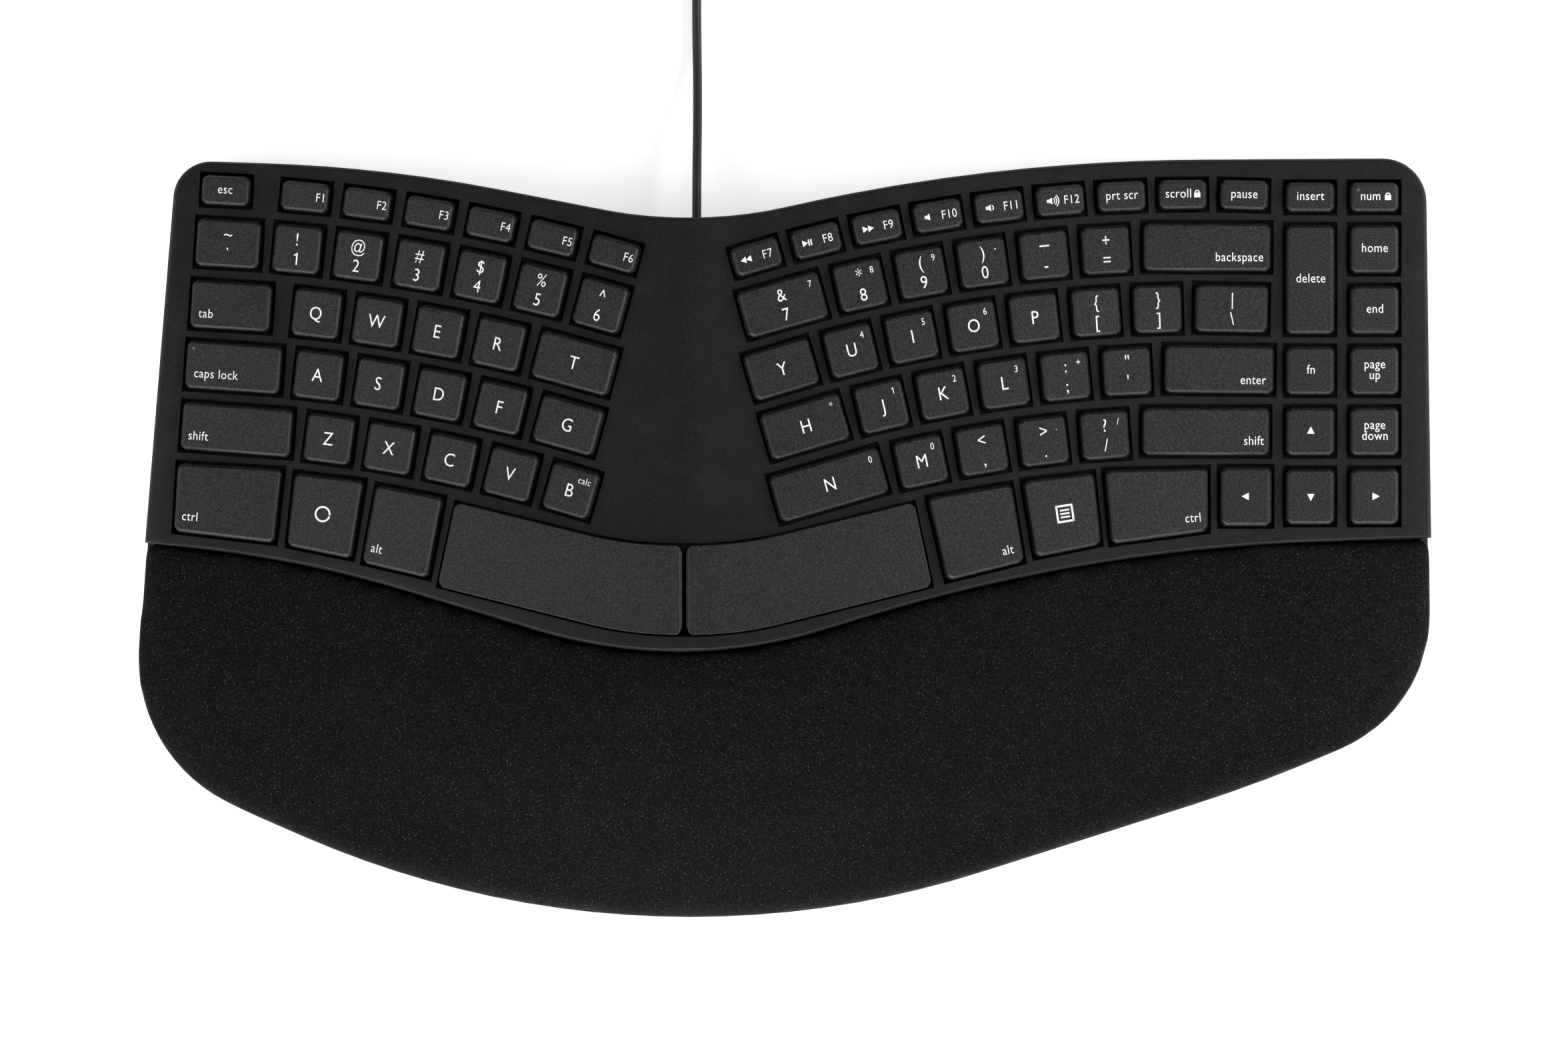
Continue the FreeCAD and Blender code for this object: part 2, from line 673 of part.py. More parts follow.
def rim_edge(edge):
    """True for the edges where the wing's top meets the side walls, and not for the seams across it."""
    ends = [edge.valueAt(edge.FirstParameter), edge.valueAt(edge.LastParameter)]
    on_top = all(abs(point.z - wing_at(point.x)[0]) < 1e-3 for point in ends)
    return on_top and abs(ends[0].x - ends[1].x) > 1e-6


def key_bed():
    """The deck that guides the plungers, on short posts that stand on the membrane."""
    field = inset(KEY_FIELD, size("layer_inset"))
    deck = layer(bed_depth(), size("bed_skin"), field)
    room = layer(bed_depth(), membrane_depth() - bed_depth(), field)
    half = size("bed_post") / 2
    posts = [prism(rectangle(2 * half, 2 * half), 0, wing_top()) for _ in bed_post_places()]
    for post, (x, y) in zip(posts, bed_post_places()):
        post.translate(Vector(x, y, 0))
    bed = clear_of_posts(deck.fuse(Part.makeCompound(posts).common(room)))
    return bed.cut(Part.makeCompound([guide_hole(key) for key in KEYS.values()]))


POST_KEYS = [("one", "two"), ("z", "x"), ("nine", "zero"), ("comma", "full_stop"), ("delete", "home")]


def bed_post_places():
    """Half-way between neighbouring keys, clear of their domes, and in the field's two valleys."""
    spine = size("space_mid_x")
    step = size("layer_inset") + size("bed_post")
    front = bend(*BORDER[1:4])[1][1] + step
    back = bend(*BACK[1:4])[1][1] - step
    places = [(spine, front), (spine, back)]
    for left, right in POST_KEYS:
        middle = (KEYS[left].tilted.Base + KEYS[right].tilted.Base) / 2
        places.append((middle.x, middle.y))
    return places


def rubber_domes():
    return Part.makeCompound([dome(key) for key in KEYS.values()])


def sheet_outline():
    return in_chords(inset(KEY_FIELD, size("layer_inset")))


def membrane_sheets():
    return clear_of_posts(layer(membrane_depth(), size("membrane_skin"), sheet_outline()))


def backing_plate():
    return clear_of_posts(layer(plate_depth(), size("plate_skin"), sheet_outline()))


def floor_top():
    return size("foot_height") + size("floor_skin")


# Where the ribs of the tray run from front to back
RIB_PLACES = [-150, -95, 12, 60, 125]


def bottom_cover():
    low = size("foot_height")
    outer = prism(OUTLINE, low, size("parting_height"))
    edges = [edge for edge in outer.Edges if edge.BoundBox.ZMax < low + 0.01]
    outer = outer.makeChamfer(size("tray_bevel"), edges)
    hollow = prism(inset(OUTLINE, size("tray_wall")), floor_top(), size("parting_height") + 1)
    tray = outer.cut(hollow)
    rooted = floor_top() - size("root")
    room = layer(plate_depth() + size("plate_skin"), size("back_left_y"), inset(KEY_FIELD, size("rib_inset")))
    span = size("back_left_y") - size("border_valley_y")
    ribs = [
        Part.makeBox(size("rib_skin"), span, wing_top(), Vector(x, size("border_valley_y"), rooted))
        for x in RIB_PLACES
    ]
    tray = tray.fuse(Part.makeCompound([rib.common(under_plate(room)) for rib in ribs]))
    posts = [Part.makeBox(size("board_post"), size("board_post"), size("board_lift") + size("root"),
                          Vector(x, y, rooted)) for x, y in board_corners(size("board_post"))]
    tray = tray.fuse(Part.makeCompound(posts))
    tray = tray.fuse(post_boxes(size("post_size"), rooted, size("parting_height")))
    tray = tray.cut(Part.makeCompound([foot_block(*place) for place in FEET]))
    return tray.cut(Part.makeCompound(screw_holes()))


def under_plate(room):
    return room.cut(prism(inset(OUTLINE, -size("tray_wall")), 0, floor_top() - size("root")))


# Feet and screws

# Each foot: its place and its turn in degrees
FEET = [(-168, 92, 0), (150, 100, 0), (-160, -62, -35), (158, -54, 30), (-29, -98, 0)]


def foot_block(x, y, turn):
    height = size("foot_height") + size("foot_recess")
    turned = Placement(Vector(x, y, 0), Rotation(Vector(0, 0, 1), turn))
    back = Placement(Vector(-size("foot_length") / 2, -size("foot_width") / 2, 0), Rotation())
    block = Part.makeBox(size("foot_length"), size("foot_width"), height)
    block.Placement = turned.multiply(back)
    return block


def rubber_feet():
    feet = []
    for place in FEET:
        block = bound("Box", "foot_block", {
            "Length": "foot_length", "Width": "foot_width", "Height": "foot_height + foot_recess"})
        block.Placement = foot_block(*place).Placement
        feet.append(bevelled(block, "foot", size("foot_bevel"), lambda edge: edge.BoundBox.ZMax < 0.01))
    return compound("feet", feet)


def screw_places():
    """Beside the two keys in the back corners, clear of their travel, and in the web along the ridge."""
    away = size("post_size") / 2 + size("key_gap") + size("post_slack")
    left = KEYS["escape"]
    right = KEYS["num_lock"]
    return [
        (left.tilted.Base.x + min(x for x, _, _ in left.corners) - away, left.tilted.Base.y),
        (right.tilted.Base.x, right.tilted.Base.y + max(y for _, y, _ in right.corners) + away),
        (size("ridge_x"), size("spine_post_front_y")), (size("ridge_x"), size("spine_post_back_y")),
    ]


def post_boxes(side, low, high):
    return Part.makeCompound([Part.makeBox(side, side, high - low, Vector(x - side / 2, y - side / 2, low))
                              for x, y in screw_places()])


def clear_of_posts(shape):
    return shape.cut(post_boxes(size("post_size") + 2 * size("post_slack"), 0, wing_top()))


def screw_base():
    return size("foot_height") + size("screw_head_height")


def screw_threads():
    return [bar(size("screw_radius"), size("screw_length") + size("root"), x, y, screw_base())
            for x, y in screw_places()]


def screw_holes():
    slack = size("screw_slack")
    holes = []
    for x, y in screw_places():
        sink = bar(size("screw_head_radius") + slack, screw_base(), x, y, 0)
        bore = bar(size("screw_radius") + slack, size("parting_height") + 1, x, y, 0)
        holes.append(sink.fuse(bore))
    return holes


def case_screws():
    screws = []
    for x, y in screw_places():
        head = bound("Prism", "screw_head", {"Circumradius": "screw_head_radius", "Height": "screw_head_height"})
        shank = bound("Prism", "screw_shank", {"Circumradius": "screw_radius", "Height": "screw_length"})
        for piece, low in ((head, size("foot_height")), (shank, screw_base())):
            piece.Polygon = SMALL_ROUND_SIDES
            piece.Placement = Placement(Vector(x, y, low), Rotation(Vector(0, 0, 1), 180 / SMALL_ROUND_SIDES))
        screws.append(fused("screw", [head, shank]))
    return compound("screws", screws)


# Controller board

def board_corners(side):
    x = size("board_x")
    y = size("board_y")
    right = x + size("board_length") - side
    back = y + size("board_width") - side
    return [(x, y), (right, y), (x, back), (right, back)]


def controller_board():
    under = "foot_height + floor_skin + board_lift"
    plate = bound("Box", "board_plate", {
        "Length": "board_length", "Width": "board_width", "Height": "board_skin",
        "Placement.Base.x": "board_x", "Placement.Base.y": "board_y", "Placement.Base.z": under})
    chip = bound("Box", "board_chip", {
        "Length": "chip_size", "Width": "chip_size", "Height": "chip_height",
        "Placement.Base.x": "board_x + board_length / 4", "Placement.Base.y": "board_y + board_width / 4",
        "Placement.Base.z": under + " + board_skin"})
    header = bound("Box", "board_header", {
        "Length": "header_length", "Width": "header_width", "Height": "header_height",
        "Placement.Base.x": "board_x + board_length / 2 + header_width",
        "Placement.Base.y": "board_y + board_width - header_width - board_skin",
        "Placement.Base.z": under + " + board_skin"})
    return fused("board", [plate, chip, header])


# Palm rest

# How the palm rest falls away: the distance from front to back, the drop at the tips, the share of the wing's rise
PALM_SECTIONS = [
    (12.0, 0.0, 1.0), (-20.0, 0.0, 1.0), (-45.0, -0.6, 0.96), (-65.0, -2.0, 0.86), (-82.0, -3.8, 0.74),
    (-98.0, -6.0, 0.6), (-112.0, -8.4, 0.45), (-124.0, -11.0, 0.32),
]


def palm_block(drop):
    """The room under the palm rest's top, sunk by drop, lofted from front to back."""
    wires = []
    end_height = size("wing_end_height")
    for y, fall, share in PALM_SECTIONS:
        line = [(x, end_height + fall - size("pad_step") - drop + share * (z - end_height), radius)
                for x, z, radius in WING_BENDS]
        edges = edges_of(line, lambda x, z, y=y: Vector(x, y, z), False)
        left = Vector(line[0][0], y, 0)
        right = Vector(line[-1][0], y, 0)
        edges.append(Part.makeLine(Vector(line[-1][0], y, line[-1][1]), right))
        edges.append(Part.makeLine(right, left))
        edges.append(Part.makeLine(left, Vector(line[0][0], y, line[0][1])))
        wires.append(Part.Wire(edges))
    return Part.makeLoft(wires, True, True)


def palm_rest_pad():
    """The soft skin over the base: crowned on top, thick at its sides."""
    low = size("parting_height")
    outer = prism(inset(PALM_FIELD, size("pad_gap")), low, wing_top()).common(palm_block(0))
    return outer.cut(base_block(low - 1))


def base_block(low):
    edge = size("pad_gap") + size("pad_side")
    return prism(inset(PALM_FIELD, edge), low, wing_top()).common(palm_block(size("pad_thickness")))


def palm_rest_base():
    """The rigid core under the pad, closed and left solid inside."""
    return base_block(floor_top())


# Cord, strain relief and plug

def exit_point():
    """Where the cord leaves the back wall, at the bottom of the valley of the case."""
    before = BACK[1]
    after = BACK[3]
    middle = bend(before, BACK[2], after)[1]
    return Vector(middle[0], middle[1], size("cord_exit_height"))


def along_cord(shape):
    """Turns a shape that was made upwards so that it points out of the back wall at the cord's exit."""
    shape.Placement = Placement(exit_point(), Rotation(Vector(1, 0, 0), -90))
    return shape


def cord_bore():
    wall = size("cover_wall")
    return along_cord(prism(many_sided(size("bush_radius"), BUSH_SIDES), -2 * wall, 2 * wall))


def strain_relief():
    """A bush clipped in the back wall: collar inside, short nose outside, the cord moulded into it."""
    inside = -size("cover_wall") - size("bush_slack")
    slack = size("bush_slack")
    collar = many_sided(size("bush_flange_radius"), BUSH_SIDES)
    neck = many_sided(size("bush_radius") - slack, BUSH_SIDES)
    nose = many_sided(size("cord_diameter") / 2 + size("bush_lip"), BUSH_SIDES)
    flange = prism(collar, inside - size("bush_flange"), inside)
    barrel = tapered([(neck, inside), (neck, slack), (nose, size("bush_nose"))])
    return along_cord(flange.fuse(barrel))


BUSH_SIDES = 12


def cord_section(point, direction):
    """The cord's section, with its corners on the cord's radius."""
    radius = size("cord_diameter") / 2
    side = direction.cross(Vector(0, 0, 1)).normalize()
    up = side.cross(direction).normalize()
    ring = []
    for i in range(CORD_SIDES):
        angle = 2 * math.pi * (i + 0.5) / CORD_SIDES
        ring.append(point + side * (radius * math.cos(angle)) + up * (radius * math.sin(angle)))
    return ring


def tube(edges, start, direction):
    """The cord's tube along edges, with its volume compared with section times length."""
    path = Part.Wire(edges)
    ring = cord_section(start, direction)
    section = Part.makePolygon(ring + ring[:1])
    solid = path.makePipeShell([section], True, False)
    expected = Part.Face(section).Area * path.Length
    print("tube length %.1f, volume off by %.2f %%" % (path.Length, 100 * (solid.Volume / expected - 1)))
    return solid


CORD_SIDES = 6

# The free stretch of the cord, from the strain relief: how far back, how far up from the table, how far aside
CORD_RUNS = [(0, 12.0, 0), (14, 11.4, 0), (30, 6.6, 0.2), (46, 2.4, 0.1), (63, 1.6, -0.2), (80, 2.5, 0), (96, 2.6, 0)]


def cord_points():
    start = exit_point()
    return [Vector(start.x + aside, start.y + size("bush_nose") + back, up) for back, up, aside in CORD_RUNS]


def usb_cable():
    points = cord_points()
    edges = []
    last = points[0]
    for before, point, after in zip(points, points[1:], points[2:]):
        to_start = (before - point).normalize()
        to_end = (after - point).normalize()
        half = to_start.getAngle(to_end) / 2
        reach = 0.45 * min(before.distanceToPoint(point), point.distanceToPoint(after))
        radius = reach * math.tan(half)
        middle = point + (to_start + to_end).normalize() * (radius / math.sin(half) - radius)
        start = point + to_start * reach
        end = point + to_end * reach
        print("cord arc radius %.0f" % radius)
        edges.append(Part.makeLine(last, start))
        edges.append(Part.Arc(start, middle, end).toShape())
        last = end
    edges.append(Part.makeLine(last, points[-1]))
    return tube(edges, points[0], (points[1] - points[0]).normalize())


# The rest of the cord, wound for storage: layers that spiral in and out, a climb where each reverses, and a tail
COIL_LAYERS = 4
LAYER_TURNS = 2.75
CLIMB_TURNS = 0.5
TAIL_TURNS = 0.5


def smooth(share):
    share = max(0.0, min(1.0, share))
    return share * share * (3 - 2 * share)


def coil_radius_range():
    middle = size("coil_middle_diameter") / 2
    half = LAYER_TURNS * size("coil_step") / 2
    return middle - half, middle + half


def coil_centre():
    end = cord_points()[-1]
    return Vector(end.x - coil_radius_range()[1], end.y, end.z)


def plug_axis_height():
    top = size("coil_lift") + (COIL_LAYERS - 1) * size("coil_step") + size("cord_diameter")
    return top + size("plug_height") / 2 + size("plug_clearance")


def coil_point(turn):
    """A point of the wound cord's centre line."""
    step = size("coil_step")
    inner, outer = coil_radius_range()
    centre = coil_centre()
    block = LAYER_TURNS + CLIMB_TURNS
    layer_number = min(int(turn / block + 1e-9), COIL_LAYERS - 1)
    within = turn - layer_number * block
    inward = layer_number % 2 == 0
    start, end, sign = (outer, inner, -1) if inward else (inner, outer, 1)
    height = centre.z + layer_number * step
    if within <= LAYER_TURNS:
        radius = start + sign * step * within
    elif layer_number < COIL_LAYERS - 1:
        share = (within - LAYER_TURNS) / CLIMB_TURNS
        radius = end + sign * step * CLIMB_TURNS / math.pi * math.sin(math.pi * share)
        height += step * smooth(share)
    else:
        share = (within - LAYER_TURNS) / TAIL_TURNS
        radius = end + (size("plug_offset") - end) * smooth((share - 0.35) / 0.65)
        height += (plug_axis_height() - height) * smooth(share / 0.65)
    angle = 2 * math.pi * turn
    return Vector(centre.x + radius * math.cos(angle), centre.y + radius * math.sin(angle), height)


def coil_turns():
    return COIL_LAYERS * LAYER_TURNS + (COIL_LAYERS - 1) * CLIMB_TURNS + TAIL_TURNS


def cable_coil():
    """One unbroken tube on short straight chords, with few faces because its turns are many and small."""
    steps = int(round(coil_turns() * CHORDS_PER_TURN))
    points = [coil_point(coil_turns() * i / steps) for i in range(steps + 1)]
    points.append(points[-1] + Vector(0, size("cord_diameter"), 0))
    directions = [Vector(0, 1, 0)]
    for before, after in zip(points, points[2:]):
        directions.append((after - before).normalize())
    directions.append(Vector(0, 1, 0))
    rings = [cord_section(point, direction) for point, direction in zip(points, directions)]
    length = sum(a.distanceToPoint(b) for a, b in zip(points, points[1:]))
    print("least gap of the coil to itself %.2f, its cord %.1f long" % (coil_gap(), length))
    return faceted_tube(rings)


def faceted_tube(rings):
    """A closed solid of triangles along rings of points, with a flat face at each end."""
    faces = [Part.Face(Part.makePolygon(ring + ring[:1])) for ring in (rings[0], rings[-1])]
    count = len(rings[0])
    for low, high in zip(rings, rings[1:]):
        for i in range(count):
            j = (i + 1) % count
            faces.append(Part.Face(Part.makePolygon([low[i], low[j], high[j], low[i]])))
            faces.append(Part.Face(Part.makePolygon([low[i], high[j], high[i], low[i]])))
    solid = Part.Solid(Part.Shell(faces))
    return solid if solid.Volume > 0 else Part.Solid(solid.Shells[0].reversed())


CHORDS_PER_TURN = 14
SAMPLES_PER_TURN = 48


def coil_gap():
    """The least room between turns of the wound cord, measured on points of its centre line."""
    count = int(coil_turns() * SAMPLES_PER_TURN)
    points = [coil_point(i / SAMPLES_PER_TURN) for i in range(count + 1)]
    apart = SAMPLES_PER_TURN // 3
    least = min(points[i].distanceToPoint(points[j])
                for i in range(len(points)) for j in range(i + apart, len(points)))
    return least - size("cord_diameter")


def tie_place():
    """The strap's place: its middle and its turn about the coil's axis."""
    inner, outer = coil_radius_range()
    angle = math.radians(size("tie_angle"))
    centre = coil_centre()
    middle = (inner + outer) / 2
    return Placement(Vector(centre.x + middle * math.cos(angle), centre.y + middle * math.sin(angle), 0),
                     Rotation(Vector(0, 0, 1), size("tie_angle")))


def cable_tie():
    """A strap round the bundle, its lower run between the coil and the table."""
    swing = size("coil_step") * CLIMB_TURNS / math.pi
    width = LAYER_TURNS * size("coil_step") + 2 * swing + size("cord_diameter") + 2 * size("tie_slack")
    skin = size("tie_skin")
    height = (size("coil_lift") - skin + (COIL_LAYERS - 1) * size("coil_step") + size("cord_diameter")
              + size("tie_slack"))
    outer = bound("Box", "tie_outside", {"Width": "tie_width"})
    outer.Length = width + 2 * skin
    outer.Height = height + 2 * skin
    inner = bound("Box", "tie_inside", {"Width": "tie_width * 2"})
    inner.Length = width
    inner.Height = height
    depth = size("tie_width")
    outer.Placement = tie_place().multiply(Placement(Vector(-width / 2 - skin, -depth / 2, 0), Rotation()))
    inner.Placement = tie_place().multiply(Placement(Vector(-width / 2, -depth, skin), Rotation()))
    return less("tie", outer, inner)


def plug_start():
    return coil_point(coil_turns()) + Vector(0, size("cord_diameter"), 0)


def usb_plug_grip():
    block = bound("Box", "grip_block", {"Length": "plug_width", "Width": "plug_length", "Height": "plug_height"})
    block.Placement.Base = plug_start() - Vector(size("plug_width") / 2, 0, size("plug_height") / 2)
    return bevelled(block, "grip", size("plug_bevel"), lambda edge: runs_along_y(edge, size("plug_length") / 2))


def runs_along_y(edge, least):
    return abs(edge.Vertexes[0].Y - edge.Vertexes[1].Y) > least


def usb_plug_shell():
    start = plug_start() + Vector(0, size("plug_length"), 0)
    width = size("shell_width")
    height = size("shell_height")
    skin = size("shell_skin")
    outer = bound("Box", "shell_outside", {
        "Length": "shell_width", "Width": "shell_length", "Height": "shell_height"})
    outer.Placement.Base = start - Vector(width / 2, 0, height / 2)
    inner = bound("Box", "shell_inside", {
        "Length": "shell_width - 2 * shell_skin", "Width": "shell_length",
        "Height": "shell_height - 2 * shell_skin"})
    inner.Placement.Base = start + Vector(skin - width / 2, skin, skin - height / 2)
    tongue = bound("Box", "shell_tongue", {
        "Length": "shell_width - 4 * shell_skin", "Width": "shell_length - 2 * shell_skin",
        "Height": "shell_height * 0.4"})
    tongue.Placement.Base = start + Vector(2 * skin - width / 2, skin / 2, 0.1 * height - skin)
    return fused("shell", [less("shell_wall", outer, inner), tongue])


NODES = {
    "top_cover": top_cover, "key_bed": key_bed, "rubber_domes": rubber_domes, "membrane_sheets": membrane_sheets,
    "backing_plate": backing_plate, "bottom_cover": bottom_cover, "rubber_feet": rubber_feet,
    "case_screws": case_screws, "controller_board": controller_board, "palm_rest_pad": palm_rest_pad,
    "palm_rest_base": palm_rest_base, "strain_relief": strain_relief, "usb_cable": usb_cable,
    "cable_coil": cable_coil, "cable_tie": cable_tie, "usb_plug_grip": usb_plug_grip,
    "usb_plug_shell": usb_plug_shell,
}


def add_node(name, made):
    """Names a document object as a node, and gives a bare shape an object of its own."""
    node = made
    if isinstance(made, Part.Shape):
        node = doc.addObject("Part::Feature", name)
        node.Shape = made
    node.Label = name
    return node


nodes = [add_node(name, make()) for name, make in NODES.items()]
banked = set()
for bank, names in BANKS.items():
    keys = [KEYS[name] for name in names.split()]
    banked.update(names.split())
    nodes.append(add_node(bank, Part.makeCompound([cap_and_plunger(key) for key in keys])))
for name, key in KEYS.items():
    if name not in banked:
        nodes.append(add_node(name if len(name) > 1 else "key_" + name, cap_and_plunger(key)))

doc.recompute()
for item in doc.Objects:
    if "Invalid" in item.State or "Error" in item.State:
        raise RuntimeError(item.Label + " failed")
for node in nodes:
    if node.Shape.isNull() or not node.Shape.isValid():
        raise RuntimeError(node.Label + " has no valid shape")

os.makedirs("parts", exist_ok=True)
for node in nodes:
    node.Shape.exportStep(os.path.join("parts", node.Label + ".step"))
print(len(nodes), "nodes written")
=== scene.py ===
"""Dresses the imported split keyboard: caps with printed legends, cover, padded palm rest, cord and stage."""

import json
import math

import bmesh
import bpy
from mathutils import Matrix, Vector
from mathutils.bvhtree import BVHTree


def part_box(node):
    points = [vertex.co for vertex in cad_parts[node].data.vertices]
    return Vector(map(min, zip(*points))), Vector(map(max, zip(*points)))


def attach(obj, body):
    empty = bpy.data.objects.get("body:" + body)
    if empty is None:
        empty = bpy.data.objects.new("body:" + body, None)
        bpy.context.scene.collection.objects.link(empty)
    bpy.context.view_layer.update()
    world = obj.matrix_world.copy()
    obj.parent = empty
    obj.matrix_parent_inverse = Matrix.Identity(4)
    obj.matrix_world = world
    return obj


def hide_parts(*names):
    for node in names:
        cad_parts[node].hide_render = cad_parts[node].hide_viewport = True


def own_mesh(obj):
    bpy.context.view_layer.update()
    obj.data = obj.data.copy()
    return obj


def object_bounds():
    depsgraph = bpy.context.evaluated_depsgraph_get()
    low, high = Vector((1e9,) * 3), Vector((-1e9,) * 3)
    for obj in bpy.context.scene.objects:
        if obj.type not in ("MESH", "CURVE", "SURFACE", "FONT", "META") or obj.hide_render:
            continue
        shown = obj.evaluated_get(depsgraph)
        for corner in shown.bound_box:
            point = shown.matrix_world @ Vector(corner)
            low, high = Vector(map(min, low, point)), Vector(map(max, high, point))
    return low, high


bl_info = {
    "name": "Split keyboard dressing",
    "version": (1, 0, 0),
    "blender": (4, 5, 0),
    "location": "View3D > Sidebar > Keyboard",
    "description": "Builds the visible pieces of a split keyboard around its packed frame",
    "category": "Object",
}

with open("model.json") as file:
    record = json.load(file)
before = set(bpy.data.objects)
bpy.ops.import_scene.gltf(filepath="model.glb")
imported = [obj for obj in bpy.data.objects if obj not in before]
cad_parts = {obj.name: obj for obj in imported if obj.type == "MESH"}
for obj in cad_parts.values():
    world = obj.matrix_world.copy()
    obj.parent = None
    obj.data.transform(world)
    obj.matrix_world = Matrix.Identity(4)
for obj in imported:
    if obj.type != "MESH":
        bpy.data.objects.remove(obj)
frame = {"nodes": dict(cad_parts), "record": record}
cad_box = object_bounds()
NODES = frame["nodes"]
MM = 0.001


# Sizes and colours that a user would change

class KeySizes(bpy.types.PropertyGroup):
    """Sizes of the caps and of what is printed on them."""
    corner_round: bpy.props.FloatProperty(
        name="Corner round", description="Rounding of the upright corners of a cap",
        default=0.6 * MM, unit="LENGTH")
    top_round: bpy.props.FloatProperty(
        name="Top round", description="Rounding where the top of a cap meets its bevel",
        default=0.3 * MM, unit="LENGTH")
    letter_height: bpy.props.FloatProperty(
        name="Letter height", description="Height of a capital letter",
        default=3.95 * MM, unit="LENGTH")
    sign_height: bpy.props.FloatProperty(
        name="Sign height", description="Height of a digit or sign on a two-line key",
        default=3.75 * MM, unit="LENGTH")
    word_height: bpy.props.FloatProperty(
        name="Word height", description="Capital height of the small words",
        default=2.7 * MM, unit="LENGTH")
    pad_digit_height: bpy.props.FloatProperty(
        name="Pad digit height", description="Height of the small digit at the corner of a key",
        default=2.0 * MM, unit="LENGTH")
    aperture_round: bpy.props.FloatProperty(
        name="Aperture round", description="Rounding of the cover's corners round each key",
        default=1.1 * MM, unit="LENGTH")
    print_lift: bpy.props.FloatProperty(
        name="Print lift", description="How far the print stands above the cap",
        default=0.03 * MM, unit="LENGTH")


class Colours(bpy.types.PropertyGroup):
    """Base colours of the main finishes."""
    cap: bpy.props.FloatVectorProperty(
        name="Caps", description="Moulded plastic of the key caps",
        subtype="COLOR", size=3, default=(0.0098, 0.0100, 0.0114))
    cover: bpy.props.FloatVectorProperty(
        name="Cover", description="Moulded plastic of the case",
        subtype="COLOR", size=3, default=(0.0106, 0.0101, 0.0106))
    leather: bpy.props.FloatVectorProperty(
        name="Palm rest", description="Soft skin of the palm rest",
        subtype="COLOR", size=3, default=(0.0024, 0.0028, 0.0031))
    print: bpy.props.FloatVectorProperty(
        name="Print", description="White ink of the legends",
        subtype="COLOR", size=3, default=(0.80, 0.80, 0.80))


class PadSizes(bpy.types.PropertyGroup):
    """Sizes of the padded palm rest."""
    voxel: bpy.props.FloatProperty(
        name="Grid", description="Mesh size of the padded skin",
        default=2.5 * MM, unit="LENGTH")
    swell: bpy.props.FloatProperty(
        name="Swell", description="How far the foam may push the skin out",
        default=0.7 * MM, unit="LENGTH")


class CordSizes(bpy.types.PropertyGroup):
    """Sizes of the cord."""
    diameter: bpy.props.FloatProperty(
        name="Diameter", description="Outside diameter of the cord",
        default=2.8 * MM, unit="LENGTH")
    step: bpy.props.FloatProperty(
        name="Coil step", description="Distance from turn to turn",
        default=3.4 * MM, unit="LENGTH")
    middle_diameter: bpy.props.FloatProperty(
        name="Coil diameter", description="Diameter at the middle of the turns",
        default=33.6 * MM, unit="LENGTH")


class StageSizes(bpy.types.PropertyGroup):
    """Floor, light and camera."""
    camera_height: bpy.props.FloatProperty(
        name="Camera height", description="Height of the camera above the table",
        default=2.2, unit="LENGTH")
    frame_width: bpy.props.FloatProperty(
        name="Frame width", description="Width that the picture shows at the height of the keys",
        default=0.480, unit="LENGTH")
    centre_y: bpy.props.FloatProperty(
        name="Centre", description="How far back the middle of the picture lies",
        default=5.0 * MM, unit="LENGTH")


# Shader nodes as expressions

class Wire:
    """An output socket. Arithmetic on it adds Math nodes."""

    def __init__(self, finish, socket):
        self.finish = finish
        self.socket = socket

    def math(self, operation, first, second):
        return self.finish.node("ShaderNodeMath", {"operation": operation}, {0: first, 1: second})

    def __add__(self, other):
        return self.math("ADD", self, other)

    def __radd__(self, other):
        return self.math("ADD", other, self)

    def __sub__(self, other):
        return self.math("SUBTRACT", self, other)

    def __rsub__(self, other):
        return self.math("SUBTRACT", other, self)

    def __mul__(self, other):
        return self.math("MULTIPLY", self, other)

    def __rmul__(self, other):
        return self.math("MULTIPLY", other, self)

    def __gt__(self, other):
        return self.math("GREATER_THAN", self, other)

    def __lt__(self, other):
        return self.math("LESS_THAN", self, other)


